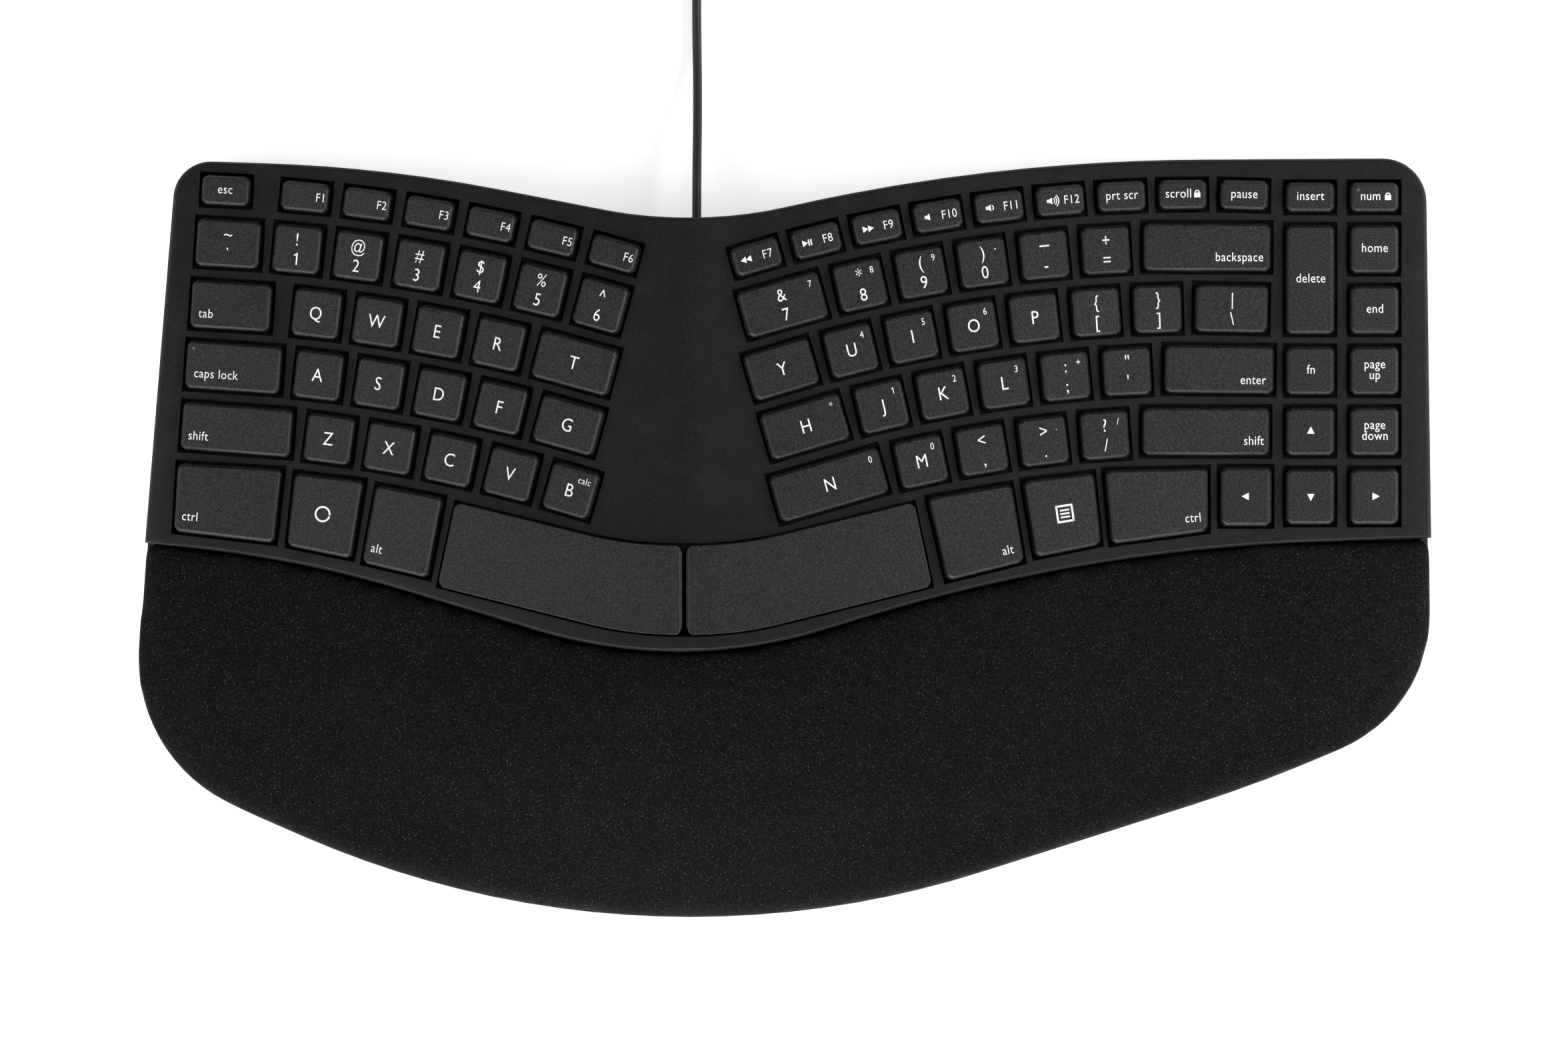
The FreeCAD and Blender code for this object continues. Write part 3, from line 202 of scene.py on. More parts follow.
class Finish:
    """A material under construction, on the piece's own Object coordinates."""

    def __init__(self, name, roughness, **fixed):
        self.material = bpy.data.materials.new(name)
        self.material.use_nodes = True
        self.tree = self.material.node_tree
        self.shader = self.tree.nodes["Principled BSDF"]
        self.shader.inputs["Roughness"].default_value = roughness
        for label, value in fixed.items():
            self.shader.inputs[label.replace("_", " ")].default_value = value
        self.place = self.node("ShaderNodeTexCoord", {}, {}, "Object")

    def node(self, kind, settings, inputs, output=0):
        """Adds a node: its settings first, then the values or wires of its sockets."""
        made = self.tree.nodes.new(kind)
        for label, value in settings.items():
            setattr(made, label, value)
        for label, value in inputs.items():
            self.feed(made.inputs[label], value)
        return Wire(self, made.outputs[output])

    def feed(self, socket, value):
        if isinstance(value, Wire):
            self.tree.links.new(value.socket, socket)
        else:
            socket.default_value = value

    def noise(self, scale, detail=2.0, roughness=0.5):
        return self.node("ShaderNodeTexNoise", {}, {
            "Vector": self.place, "Scale": scale, "Detail": detail, "Roughness": roughness})

    def cells(self, scale):
        return self.node("ShaderNodeTexVoronoi", {}, {"Vector": self.place, "Scale": scale}, "Distance")

    def blend(self, share, first, second):
        """A colour between two others."""
        return self.node("ShaderNodeMix", {"data_type": "RGBA"}, {
            0: share, 6: rgba(first), 7: rgba(second)}, 2)

    def colour(self, value):
        self.feed(self.shader.inputs["Base Color"], value)

    def shades(self, share, colour, low, high):
        """Colours the surface between a darker and a lighter shade of one colour."""
        self.colour(self.blend(share, scaled(colour, low), scaled(colour, high)))

    def roughness(self, value):
        self.feed(self.shader.inputs["Roughness"], value)

    def relief(self, height, depth):
        bump = self.node("ShaderNodeBump", {}, {"Distance": depth, "Height": height}, "Normal")
        self.feed(self.shader.inputs["Normal"], bump)


def rgba(colour):
    if isinstance(colour, Wire):
        return colour
    return (*colour, 1.0)


def scaled(colour, factor):
    return tuple(channel * factor for channel in colour)


# Finishes

def moulded_plastic(name, colour, roughness, grain_depth, speckle, gloss=0.3):
    """Spark-eroded moulding texture: fine pits with a slight change of tone."""
    finish = Finish(name, roughness, Specular_IOR_Level=gloss)
    fine = finish.noise(1900.0, 3.0, 0.7)
    broad = finish.noise(90.0, 2.0)
    tone = (fine - 0.52) * speckle + broad * 0.3 + 0.3
    finish.shades(tone, colour, 0.2, 2.0)
    finish.roughness(roughness - 0.06 + broad * 0.12)
    finish.relief(fine, grain_depth)
    return finish.material


# How near a cell's middle the painted glints on the leather's pores reach, in cells, and the colour of this
# painted highlight
GLINT_SHARE = 0.11
PAINTED_GLINT = (0.22, 0.225, 0.23)


def soft_leather(name, colour):
    """Fine-grained soft skin: small cells, a mottle, and here and there a pore with a painted glint, a
    highlight painted into its colour.
    """
    finish = Finish(name, 0.55, Specular_IOR_Level=0.055)
    grain = finish.cells(2300.0)
    fine = finish.noise(1700.0, 2.0, 0.7)
    broad = finish.noise(35.0, 3.0)
    mottle = (fine - 0.5) * 3.0 + 0.25 + broad * 0.2
    skin = finish.blend(mottle, scaled(colour, 0.1), scaled(colour, 3.2))
    glint_spot = finish.cells(1150.0) < GLINT_SHARE
    # Painted highlight: pale glints painted into the colour of some pores, standing in for light caught there
    finish.colour(finish.blend(glint_spot * finish.noise(400.0, 1.0), skin, PAINTED_GLINT))
    finish.roughness(0.5 + grain * 0.25)
    finish.relief(grain * 0.75 + fine * 0.25, 0.07 * MM)
    return finish.material


def printed_ink(name, colour):
    finish = Finish(name, 0.6, Specular_IOR_Level=0.3)
    patchy = finish.noise(1800.0, 2.0)
    finish.shades(patchy, colour, 0.92, 1.05)
    return finish.material


def worn_steel(name, colour, roughness):
    finish = Finish(name, roughness, Metallic=1.0)
    streak = finish.noise(600.0, 4.0)
    finish.shades(streak, colour, 0.85, 1.1)
    finish.roughness(roughness - 0.08 + streak * 0.16)
    finish.relief(streak, 0.01 * MM)
    return finish.material


def dusty_rubber(name, colour, roughness, gloss, scale, depth, sway=0.0):
    """Moulded rubber, or the satin sleeve of the cord, with fine dust in its pores."""
    finish = Finish(name, roughness, Specular_IOR_Level=gloss)
    dust = finish.noise(scale, 3.0)
    finish.shades(dust, colour, 0.8, 1.3)
    finish.roughness(roughness - sway / 2 + dust * sway)
    finish.relief(dust, depth)
    return finish.material


def printed_film(name, colour):
    """Clear film with pale printed tracks seen through it."""
    finish = Finish(name, 0.3, Specular_IOR_Level=0.5)
    tracks = finish.node("ShaderNodeTexWave", {"bands_direction": "DIAGONAL"}, {
        "Vector": finish.place, "Scale": 120.0, "Distortion": 2.0}, "Fac")
    finish.colour(finish.blend(tracks > 0.8, colour, (0.55, 0.56, 0.56)))
    return finish.material


def lacquered_board(name, colour):
    finish = Finish(name, 0.35, Specular_IOR_Level=0.5)
    tracks = finish.node("ShaderNodeTexBrick", {}, {
        "Vector": finish.place, "Scale": 220.0, "Mortar Size": 0.02}, "Fac")
    finish.colour(finish.blend(tracks, colour, scaled(colour, 1.7)))
    finish.relief(tracks, 0.02 * MM)
    return finish.material


def lamp_lens(name):
    finish = Finish(name, 0.2, Specular_IOR_Level=0.5)
    haze = finish.noise(2000.0)
    finish.colour(finish.blend(haze, (0.035, 0.037, 0.035), (0.08, 0.082, 0.08)))
    return finish.material


def make_finishes():
    """Every finish, named for its material slot, from a table of makers with what each is told."""
    tone = bpy.context.scene.keyboard_colours
    table = {
        "cap_plastic": (moulded_plastic, tuple(tone.cap), 0.44, 0.11 * MM, 8.0, 0.30),
        "cover_plastic": (moulded_plastic, tuple(tone.cover), 0.42, 0.02 * MM, 1.5, 0.12),
        "bed_plastic": (moulded_plastic, (0.010, 0.010, 0.011), 0.6, 0.02 * MM, 1.0),
        "tray_plastic": (moulded_plastic, (0.012, 0.012, 0.013), 0.55, 0.04 * MM, 1.0),
        "base_plastic": (moulded_plastic, (0.012, 0.012, 0.013), 0.55, 0.04 * MM, 1.0),
        "grip_plastic": (moulded_plastic, (0.013, 0.013, 0.013), 0.45, 0.02 * MM, 1.0),
        "tie_wire": (moulded_plastic, (0.015, 0.015, 0.015), 0.5, 0.01 * MM, 1.0),
        "palm_leather": (soft_leather, tuple(tone.leather)),
        "print": (printed_ink, tuple(tone.print)),
        "lens": (lamp_lens,),
        "dome_rubber": (dusty_rubber, (0.52, 0.53, 0.52), 0.75, 0.3, 1200.0, 0.03 * MM),
        "foot_rubber": (dusty_rubber, (0.02, 0.02, 0.02), 0.75, 0.3, 1200.0, 0.03 * MM),
        "cord_sleeve": (dusty_rubber, (0.014, 0.014, 0.014), 0.5, 0.35, 900.0, 0.01 * MM, 0.16),
        "membrane_film": (printed_film, (0.36, 0.46, 0.40)),
        "plate_steel": (worn_steel, (0.55, 0.56, 0.57), 0.4),
        "screw_steel": (worn_steel, (0.30, 0.30, 0.32), 0.45),
        "plug_steel": (worn_steel, (0.62, 0.62, 0.64), 0.3),
        "board_laminate": (lacquered_board, (0.02, 0.14, 0.06)),
    }
    return {label: make(label.replace("_", " "), *facts) for label, (make, *facts) in table.items()}


finishes = {}


# Small helpers for pieces

def placed(name, data):
    """A new object of the scene."""
    made = bpy.data.objects.new(name, data)
    bpy.context.scene.collection.objects.link(made)
    return made


def freed_mesh(name, maker):
    """The mesh of a bmesh that isn't needed any more."""
    mesh = bpy.data.meshes.new(name)
    maker.to_mesh(mesh)
    maker.free()
    return mesh


def finished_piece(name, maker, body, replaced, labels):
    """Makes the object of a bmesh, rides it on its body and hides what it stands for."""
    piece = placed(name, freed_mesh(name, maker))
    for label in labels:
        piece.data.materials.append(finishes[label])
    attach(piece, body)
    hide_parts(replaced)
    return piece


def merged_copy(node, flat=None):
    """The node's own mesh with its loose triangles joined, and its folds under the flat angle taken out."""
    copy = bmesh.new()
    copy.from_mesh(NODES[node].data)
    bmesh.ops.remove_doubles(copy, verts=copy.verts, dist=0.002 * MM)
    if flat:
        bmesh.ops.dissolve_limit(copy, angle_limit=flat, verts=copy.verts, edges=copy.edges)
    return copy


def evaluated_mesh(piece):
    """What an object's modifiers or text make of it."""
    bpy.context.view_layer.update()
    return bpy.data.meshes.new_from_object(piece.evaluated_get(bpy.context.evaluated_depsgraph_get()))


def apply_modifiers(piece):
    mesh = evaluated_mesh(piece)
    piece.modifiers.clear()
    piece.data = mesh


def round_edges(copy, edges, width, segments, clamp=True):
    bmesh.ops.bevel(copy, geom=edges, offset=width, segments=segments, affect="EDGES", profile=0.5,
                    material=-1, clamp_overlap=clamp)


def smooth_with_creases(copy, degrees):
    """Shades all faces smooth and keeps the folds past the given angle sharp."""
    for face in copy.faces:
        face.smooth = True
    for edge in copy.edges:
        edge.smooth = len(edge.link_faces) == 2 and edge.calc_face_angle(0) < math.radians(degrees)


def keep_flats_flat(piece):
    """Lets the largest face at a point set the shading there."""
    weighted = piece.modifiers.new("flats", "WEIGHTED_NORMAL")
    weighted.keep_sharp = True
    weighted.weight = 100


def islands(copy):
    """The separate solids of a bmesh, each as its list of vertices, in the order of their first ones."""
    seen = set()
    found = []
    for start in copy.verts:
        if start in seen:
            continue
        seen.add(start)
        group = [start]
        stack = [start]
        while stack:
            for edge in stack.pop().link_edges:
                for vertex in edge.verts:
                    if vertex not in seen:
                        seen.add(vertex)
                        group.append(vertex)
                        stack.append(vertex)
        found.append(group)
    return found


# Keys

# The nodes that hold several caps, row by row from the back, each row from the left
BANKS = {
    "function_keys_left": ["escape f1 f2 f3 f4 f5 f6"],
    "function_keys_right": ["f7 f8 f9 f10 f11 f12"],
    "system_keys": ["print_screen scroll_lock pause insert num_lock"],
    "number_keys_left": ["grave one two three four five six"],
    "number_keys_right": ["seven eight nine zero minus equals"],
    "punctuation_keys": ["left_bracket right_bracket backslash", "semicolon quote", "comma full_stop slash"],
    "left_modifier_keys": ["left_ctrl left_ring left_alt"],
    "right_modifier_keys": ["right_alt menu right_ctrl"],
    "navigation_keys": ["home", "delete", "end", "function_shift page_up", "arrow_up page_down",
                        "arrow_left arrow_down arrow_right"],
}
SINGLE_KEYS = ["left_space", "right_space", "left_shift", "right_shift", "enter", "backspace", "tab",
               "caps_lock"] + ["key_" + letter for letter in "abcdefghijklmnopqrstuvwxyz"]
HOMING_KEYS = ("key_f", "key_j")
LAMP_KEYS = ("caps_lock", "num_lock")

# The finishes of a piece of caps, in the order of its material slots
CAP_FINISHES = ["cap_plastic", "print", "lens"]
PRINT_SLOT = CAP_FINISHES.index("print")
LENS_SLOT = CAP_FINISHES.index("lens")

# A face of a packed cap can be its top if it looks up this much and lies this near the highest point
TOP_COSINE = 0.9
TOP_REACH = 3 * MM
# A side of the top runs from left to right if it turns back by less than this share
ACROSS = 0.5
# A face of a rounded cap can be its top if it is this square to the cap's axis and this near the top's level
FLAT_COSINE = 0.99
TOP_SLACK = 1 * MM
# How far below the top of a cap its skirt ends, with a little room, and the shoulder under its bevel lies
CAP_DEPTH = 5.9 * MM
BEVEL_DEPTH = 0.8 * MM
# An edge is an upright corner past this cosine to the cap's axis, and a rim if it lies this near a level and
# is this bent
UPRIGHT = 0.45
LEVEL_SLACK = 0.06 * MM
RIM_ANGLE = math.radians(12)
# The bar on the homing keys, how far it lies before the middle, and the lens on the lamp keys
HOMING_BAR = (3.2 * MM, 0.5 * MM, 0.7 * MM)
HOMING_DOWN = 4.8 * MM
LENS_RADIUS = 0.5 * MM
LENS_IN = 1.3 * MM
LENS_DOWN = 1.4 * MM
# Folds flatter than these are taken out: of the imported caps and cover, and of the rounded caps
CAP_FLAT = math.radians(0.8)
COVER_FLAT = math.radians(0.5)
ROUNDED_FLAT = math.radians(0.4)
# Folds sharper than these stay sharp, in degrees
CAP_CREASE = 60
COVER_CREASE = 50


class Cap:
    """One cap's axes, found from its flat top: right along its front edge, up the key, out of its face."""

    def __init__(self, name, vertices):
        faces = [face for vertex in vertices for face in vertex.link_faces]
        level = max(vertices, key=lambda vertex: vertex.co.z)
        tops = [face for face in faces if face.normal.z > TOP_COSINE
                and (level.co - face.calc_center_median()).dot(face.normal) < TOP_REACH]
        top = max(tops, key=lambda face: face.calc_area())
        self.name = name
        self.out = top.normal.copy()
        sides = []
        for edge in top.edges:
            along = edge.verts[1].co - edge.verts[0].co
            if along.x < 0:
                along = -along
            if abs(along.y) < ACROSS * abs(along.x):
                sides.append(along)
        right = sum(sides, Vector())
        self.right = (right - self.out * right.dot(self.out)).normalized()
        self.up = self.out.cross(self.right)
        rim = [vertex.co for vertex in top.verts]
        self.low_u, self.high_u = reach(rim, self.right)
        self.low_v, self.high_v = reach(rim, self.up)
        self.level = max(vertex.co.dot(self.out) for vertex in vertices)

    def depth(self, vertex):
        return self.level - vertex.co.dot(self.out)

    def beside(self, point):
        """How far a point lies outside the top's outline, looking along the cap's axis."""
        u = point.dot(self.right)
        v = point.dot(self.up)
        return max(self.low_u - u, u - self.high_u, 0) + max(self.low_v - v, v - self.high_v, 0)

    @property
    def centre(self):
        return ((self.low_u + self.high_u) / 2, (self.low_v + self.high_v) / 2)

    def place(self, u, v, lift):
        """A matrix that lays flat work with its origin at u, v in the cap's axes."""
        origin = self.right * u + self.up * v + self.out * (self.level + lift)
        turned = Matrix((self.right, self.up, self.out)).transposed().to_4x4()
        return Matrix.Translation(origin) @ turned


def reach(points, axis):
    """The lowest and highest of some points along an axis."""
    along = [point.dot(axis) for point in points]
    return min(along), max(along)


def middle(group):
    return sum((vertex.co for vertex in group), Vector()) / len(group)


def named_caps(node, copy):
    """The caps of a node: a bank's are told apart by their rows and places."""
    groups = islands(copy)
    if node not in BANKS:
        return [Cap(node, groups[0])]
    rows = [row.split() for row in BANKS[node]]
    if len(rows) > 1:
        groups.sort(key=lambda group: -middle(group).y)
    caps = []
    for row in rows:
        now, groups = groups[:len(row)], groups[len(row):]
        now.sort(key=lambda group: middle(group).x)
        caps += [Cap(name, group) for name, group in zip(row, now)]
    return caps


def round_caps(copy, caps):
    """Rounds the upright corners of each cap, then the edge of its top and the shoulder below it."""
    sizes = bpy.context.scene.keyboard_keys
    owners = {vertex: cap for group, cap in owned_groups(copy, caps) for vertex in group}
    corners = []
    for edge in copy.edges:
        cap = owners[edge.verts[0]]
        along = (edge.verts[1].co - edge.verts[0].co).normalized()
        deepest = max(cap.depth(vertex) for vertex in edge.verts)
        if abs(along.dot(cap.out)) > UPRIGHT and deepest < CAP_DEPTH:
            corners.append(edge)
    round_edges(copy, corners, sizes.corner_round, 3)
    flatten_tops(copy, caps)
    for level, segments in ((0, 3), (BEVEL_DEPTH, 2)):
        rims = []
        for group, cap in owned_groups(copy, caps):
            inside = set(group)
            for edge in copy.edges:
                if edge.verts[0] in inside and len(edge.link_faces) == 2:
                    off = max(abs(cap.depth(vertex) - level) for vertex in edge.verts)
                    if off < LEVEL_SLACK and edge.calc_face_angle(0) > RIM_ANGLE:
                        rims.append(edge)
        round_edges(copy, rims, sizes.top_round, segments)
        flatten_tops(copy, caps)
    bmesh.ops.dissolve_degenerate(copy, dist=0.01 * MM, edges=copy.edges)
    bmesh.ops.dissolve_limit(copy, angle_limit=ROUNDED_FLAT, verts=copy.verts, edges=copy.edges)


def flatten_tops(copy, caps):
    """Puts each top back in its plane, and what stands above it too, because rounding lifts some corners."""
    for group, cap in owned_groups(copy, caps):
        faces = [face for vertex in group for face in vertex.link_faces]
        level = [face for face in faces
                 if face.normal.dot(cap.out) > FLAT_COSINE and cap.depth(face.verts[0]) < TOP_SLACK]
        top = max(level, key=lambda face: face.calc_area())
        raised = {vertex for vertex in group if cap.depth(vertex) < 0}
        for vertex in raised | set(top.verts):
            vertex.co += cap.out * cap.depth(vertex)
    copy.normal_update()


def owned_groups(copy, caps):
    """Each separate solid of a bmesh with the cap that it is."""
    def distance(cap, point):
        u, v = cap.centre
        return abs(point.dot(cap.right) - u) + abs(point.dot(cap.up) - v)

    return [(group, min(caps, key=lambda cap: distance(cap, middle(group)))) for group in islands(copy)]


# Legends

# The upper and lower sign of each two-line key
STACKED = {
    "grave": "~`", "one": "!1", "two": "@2", "three": "#3", "four": "$4", "five": "%5", "six": "^6",
    "seven": "&7", "eight": "*8", "nine": "(9", "zero": ")0", "minus": "_-", "equals": "+=",
    "left_bracket": "{[", "right_bracket": "}]", "backslash": "|\\", "semicolon": ":;", "quote": "\"'",
    "comma": "<,", "full_stop": ">.", "slash": "?/",
}
PAD_DIGITS = {
    "seven": "7", "eight": "8", "nine": "9", "zero": "-", "key_u": "4", "key_i": "5", "key_o": "6",
    "key_j": "1", "key_k": "2", "key_l": "3", "semicolon": "+", "key_m": "0", "key_n": "0", "key_h": "*",
    "full_stop": ".", "slash": "/",
}
CENTRED = {
    "escape": ["esc"], "print_screen": ["prt scr"], "pause": ["pause"], "insert": ["insert"],
    "delete": ["delete"], "home": ["home"], "end": ["end"], "function_shift": ["fn"],
    "page_up": ["page", "up"], "page_down": ["page", "down"],
}
# Words at a front corner, and how far in and up they stand in millimetres, below zero from the right
CORNER_WORDS = {
    "tab": ("tab", 1.7, 2.3), "caps_lock": ("caps lock", 2.0, 2.6), "left_shift": ("shift", 1.6, 2.3),
    "left_ctrl": ("ctrl", 1.9, 3.6), "left_alt": ("alt", 1.8, 3.3), "backspace": ("backspace", -1.6, 2.1),
    "enter": ("enter", -1.6, 2.0), "right_shift": ("shift", -1.0, 2.3), "right_ctrl": ("ctrl", -2.6, 3.8),
    "right_alt": ("alt", -2.6, 3.2),
}
FUNCTION_LABELS = ["f%d" % number for number in range(1, 13)]
# A function key's label against the small words, and how far below the middle it and a padlock stand
LABEL_SHARE = 0.95
LABEL_DROP = 1.2 * MM
LOCK_DROP = 0.95 * MM
# How far right of the middle a function key's label stands, on the left half and the right one, and its mark
LEFT_LABEL = 5.0 * MM
RIGHT_LABEL = 3.3 * MM
MEDIA_MARK = -3.3 * MM
# The same for a lock key's word and its padlock
LOCK_MARKS = {"scroll_lock": (-1.5 * MM, 4.3 * MM), "num_lock": (-1.3 * MM, 4.0 * MM)}
# How far up from the middle the signs of a two-line key stand, and the step between lines of small words
UPPER_SIGN = 2.9 * MM
UPPER_DASH = 2.7 * MM
LOWER_SIGN = -3.1 * MM
LINE_STEP = 3.3 * MM
# How far below the middle small words stand, as a share of their height
WORD_DROP = 0.36
# How far small digits stand from the right and the back, and a small word from the right
DIGIT_IN = 2.4 * MM
DIGIT_DOWN = 3.6 * MM
WORD_IN = 0.8 * MM
ARROW_TURNS = {"arrow_right": 0.0, "arrow_up": 0.5, "arrow_left": 1.0, "arrow_down": 1.5}

# The built-in lettering: its capitals' share of its size, and how much finer, narrower and wider it is set
CAPITAL_SHARE = 0.681
THINNER = 0.006
NARROWER = 0.87
LETTER_SPACING = 1.06


def text_mesh(text, height):
    """Flat lettering whose capitals are height tall, standing on the line v = 0."""
    curve = bpy.data.curves.new("lettering", "FONT")
    curve.body = text
    curve.size = height / CAPITAL_SHARE
    curve.offset = -THINNER * height
    curve.space_character = LETTER_SPACING
    curve.resolution_u = 3
    curve.fill_mode = "FRONT"
    holder = placed("lettering", curve)
    mesh = evaluated_mesh(holder)
    bpy.data.objects.remove(holder)
    bpy.data.curves.remove(curve)
    mesh.transform(Matrix.Scale(NARROWER, 4, (1, 0, 0)))
    return mesh


def add_flag(mesh, height):
    """Gives the built-in figure one, a bare stroke, the short flag that a printed one has."""
    maker = bmesh.new()
    maker.from_mesh(mesh)
    left = min(vertex.co.x for vertex in maker.verts)
    flag = block(maker, 0.30 * height, 0.11 * height, (0, 0))
    turn_flat(maker, flag, 38)
    bmesh.ops.translate(maker, verts=flag, vec=(left - 0.06 * height, 0.85 * height, 0))
    upwards(maker)
    maker.to_mesh(mesh)
    maker.free()


class Printer:
    """Collects the flat legend work of one node and lays it on its caps."""

    def __init__(self, copy, lift):
        self.copy = copy
        self.lift = lift

    def lay(self, mesh, cap, u, v, turned=0.0):
        mesh.transform(cap.place(u, v, self.lift) @ Matrix.Rotation(turned, 4, "Z"))
        before = set(self.copy.faces)
        self.copy.from_mesh(mesh)
        for face in set(self.copy.faces) - before:
            face.material_index = PRINT_SLOT
        bpy.data.meshes.remove(mesh)

    def text(self, cap, text, height, u, v, align="centre"):
        mesh = text_mesh(text, height)
        if text == "1":
            add_flag(mesh, height)
        low, high = reach([vertex.co for vertex in mesh.vertices], Vector((1, 0, 0)))
        shift = {"left": -low, "right": -high, "centre": -(low + high) / 2}[align]
        mesh.transform(Matrix.Translation((shift, 0, 0)))
        self.lay(mesh, cap, u, v)

    def shape(self, cap, maker, u, v, turned=0.0):
        upwards(maker)
        self.lay(freed_mesh("mark", maker), cap, u, v, turned)


def triangle_mark(radius, squeeze=1.0):
    """A triangle that points along +u."""
    maker = bmesh.new()
    bmesh.ops.create_circle(maker, cap_ends=True, segments=3, radius=radius)
    turn_flat(maker, maker.verts, -90)
    bmesh.ops.scale(maker, vec=(1, squeeze, 1), verts=maker.verts)
    return maker


def turn_flat(maker, verts, degrees, about=(0, 0, 0)):
    turned = Matrix.Rotation(math.radians(degrees), 3, "Z")
    bmesh.ops.rotate(maker, verts=verts, cent=about, matrix=turned)


def upwards(maker):
    """Makes all faces of flat work look up."""
    maker.normal_update()
    down = [face for face in maker.faces if face.normal.z < 0]
    bmesh.ops.reverse_faces(maker, faces=down)


def block(maker, width, height, at):
    made = bmesh.ops.create_grid(maker, x_segments=1, y_segments=1, size=0.5)
    bmesh.ops.scale(maker, vec=(width, height, 1), verts=made["verts"])
    bmesh.ops.translate(maker, vec=(*at, 0), verts=made["verts"])
    return made["verts"]


def arc_mark(maker, radius, width, start, end, at, steps=6):
    """A bent stroke about at, turned from start to end in degrees."""
    about = Vector((*at, 0))
    ends = [maker.verts.new(about + Vector((radius + half, 0, 0))) for half in (-width / 2, width / 2)]
    edge = maker.edges.new(ends)
    turn_flat(maker, ends, start, about)
    bmesh.ops.spin(maker, geom=[*ends, edge], cent=about, axis=(0, 0, 1),
                   angle=math.radians(end - start), steps=steps)


def padlock_mark():
    maker = bmesh.new()
    block(maker, 1.9 * MM, 1.45 * MM, (0, 0.72 * MM))
    arc_mark(maker, 0.62 * MM, 0.32 * MM, 0, 180, (0, 1.5 * MM))
    return maker


def speaker_mark(waves):
    maker = bmesh.new()
    block(maker, 0.6 * MM, 1.0 * MM, (-0.8 * MM, 0))
    cone = bmesh.ops.create_circle(maker, cap_ends=True, segments=3, radius=1.2 * MM)
    turn_flat(maker, cone["verts"], 90)
    bmesh.ops.translate(maker, vec=(-0.1 * MM, 0, 0), verts=cone["verts"])
    for wave in range(waves):
        arc_mark(maker, (0.9 + 0.65 * wave) * MM, 0.28 * MM, -50, 50, (0.35 * MM, 0), 5)
    return maker


def menu_mark():
    """A plain sheet with lines on it."""
    maker = bmesh.new()
    side = 4.8 * MM
    line = 0.6 * MM
    for edge in (-side / 2, side / 2):
        block(maker, line, side + line, (edge, 0))
        block(maker, side + line, line, (0, edge))
    for row in (-1, 0, 1):
        block(maker, side * 0.6, line * 0.8, (0, row * 1.05 * MM))
    return maker


def bar_mark(width, height):
    maker = bmesh.new()
    block(maker, width, height, (0, 0))
    return maker


def ring_mark(radius, width):
    maker = bmesh.new()
    arc_mark(maker, radius, width, 0, 350, (0, 0), 24)
    return maker


def media_marks(printer, cap, name, u, v):
    """Generic player and loudness marks beside the label of a right-hand function key."""
    small = 1.15 * MM
    if name in ("f7", "f9"):
        turned = math.pi if name == "f7" else 0.0
        for shift in (-0.85 * MM, 0.85 * MM):
            printer.shape(cap, triangle_mark(small), u + shift, v, turned)
    elif name == "f8":
        printer.shape(cap, triangle_mark(small), u - 0.8 * MM, v)
        for shift in (0.6 * MM, 1.35 * MM):
            printer.shape(cap, bar_mark(0.4 * MM, 1.9 * MM), u + shift, v)
    else:
        printer.shape(cap, speaker_mark({"f10": 0, "f11": 1, "f12": 3}[name]), u, v)


def print_legends(printer, cap):
    sizes = bpy.context.scene.keyboard_keys
    name = cap.name
    u, v = cap.centre
    word = sizes.word_height
    small = sizes.pad_digit_height
    if name.startswith("key_"):
        printer.text(cap, name[-1].upper(), sizes.letter_height, u, v - sizes.letter_height / 2)
    if name in STACKED:
        upper, lower = STACKED[name]
        half = sizes.sign_height / 2
        if upper == "_":
            printer.shape(cap, bar_mark(3.0 * MM, 0.45 * MM), u, v + UPPER_DASH)
        else:
            printer.text(cap, upper, sizes.sign_height, u, v + UPPER_SIGN - half)
        printer.text(cap, lower, sizes.sign_height, u, v + LOWER_SIGN - half)
    if name in PAD_DIGITS:
        printer.text(cap, PAD_DIGITS[name], small, cap.high_u - DIGIT_IN, cap.high_v - DIGIT_DOWN)
    if name == "key_b":
        printer.text(cap, "calc", small, cap.high_u - WORD_IN, cap.high_v - DIGIT_DOWN, "right")
    if name in CENTRED:
        lines = CENTRED[name]
        for row, line in enumerate(lines):
            drop = (row - (len(lines) - 1) / 2) * LINE_STEP
            printer.text(cap, line, word, u, v - WORD_DROP * word - drop)
    if name in CORNER_WORDS:
        label, inwards, up = CORNER_WORDS[name]
        side, start = ("left", cap.low_u) if inwards > 0 else ("right", cap.high_u)
        printer.text(cap, label, word, start + inwards * MM, cap.low_v + up * MM, side)
    if name in FUNCTION_LABELS:
        on_left = FUNCTION_LABELS.index(name) < 6
        aside = LEFT_LABEL if on_left else RIGHT_LABEL
        printer.text(cap, name.upper(), word * LABEL_SHARE, u + aside, v - LABEL_DROP)
        if not on_left:
            media_marks(printer, cap, name, u + MEDIA_MARK, v)
    if name in LOCK_MARKS:
        aside, lock = LOCK_MARKS[name]
        printer.text(cap, name.split("_")[0], word, u + aside, v - WORD_DROP * word)
        printer.shape(cap, padlock_mark(), u + lock, v - LOCK_DROP)
    if name in ARROW_TURNS:
        printer.shape(cap, triangle_mark(1.45 * MM, 0.9), u, v, ARROW_TURNS[name] * math.pi)
    if name == "menu":
        printer.shape(cap, menu_mark(), u, v)
    if name == "left_ring":
        printer.shape(cap, ring_mark(2.2 * MM, 0.55 * MM), u, v)


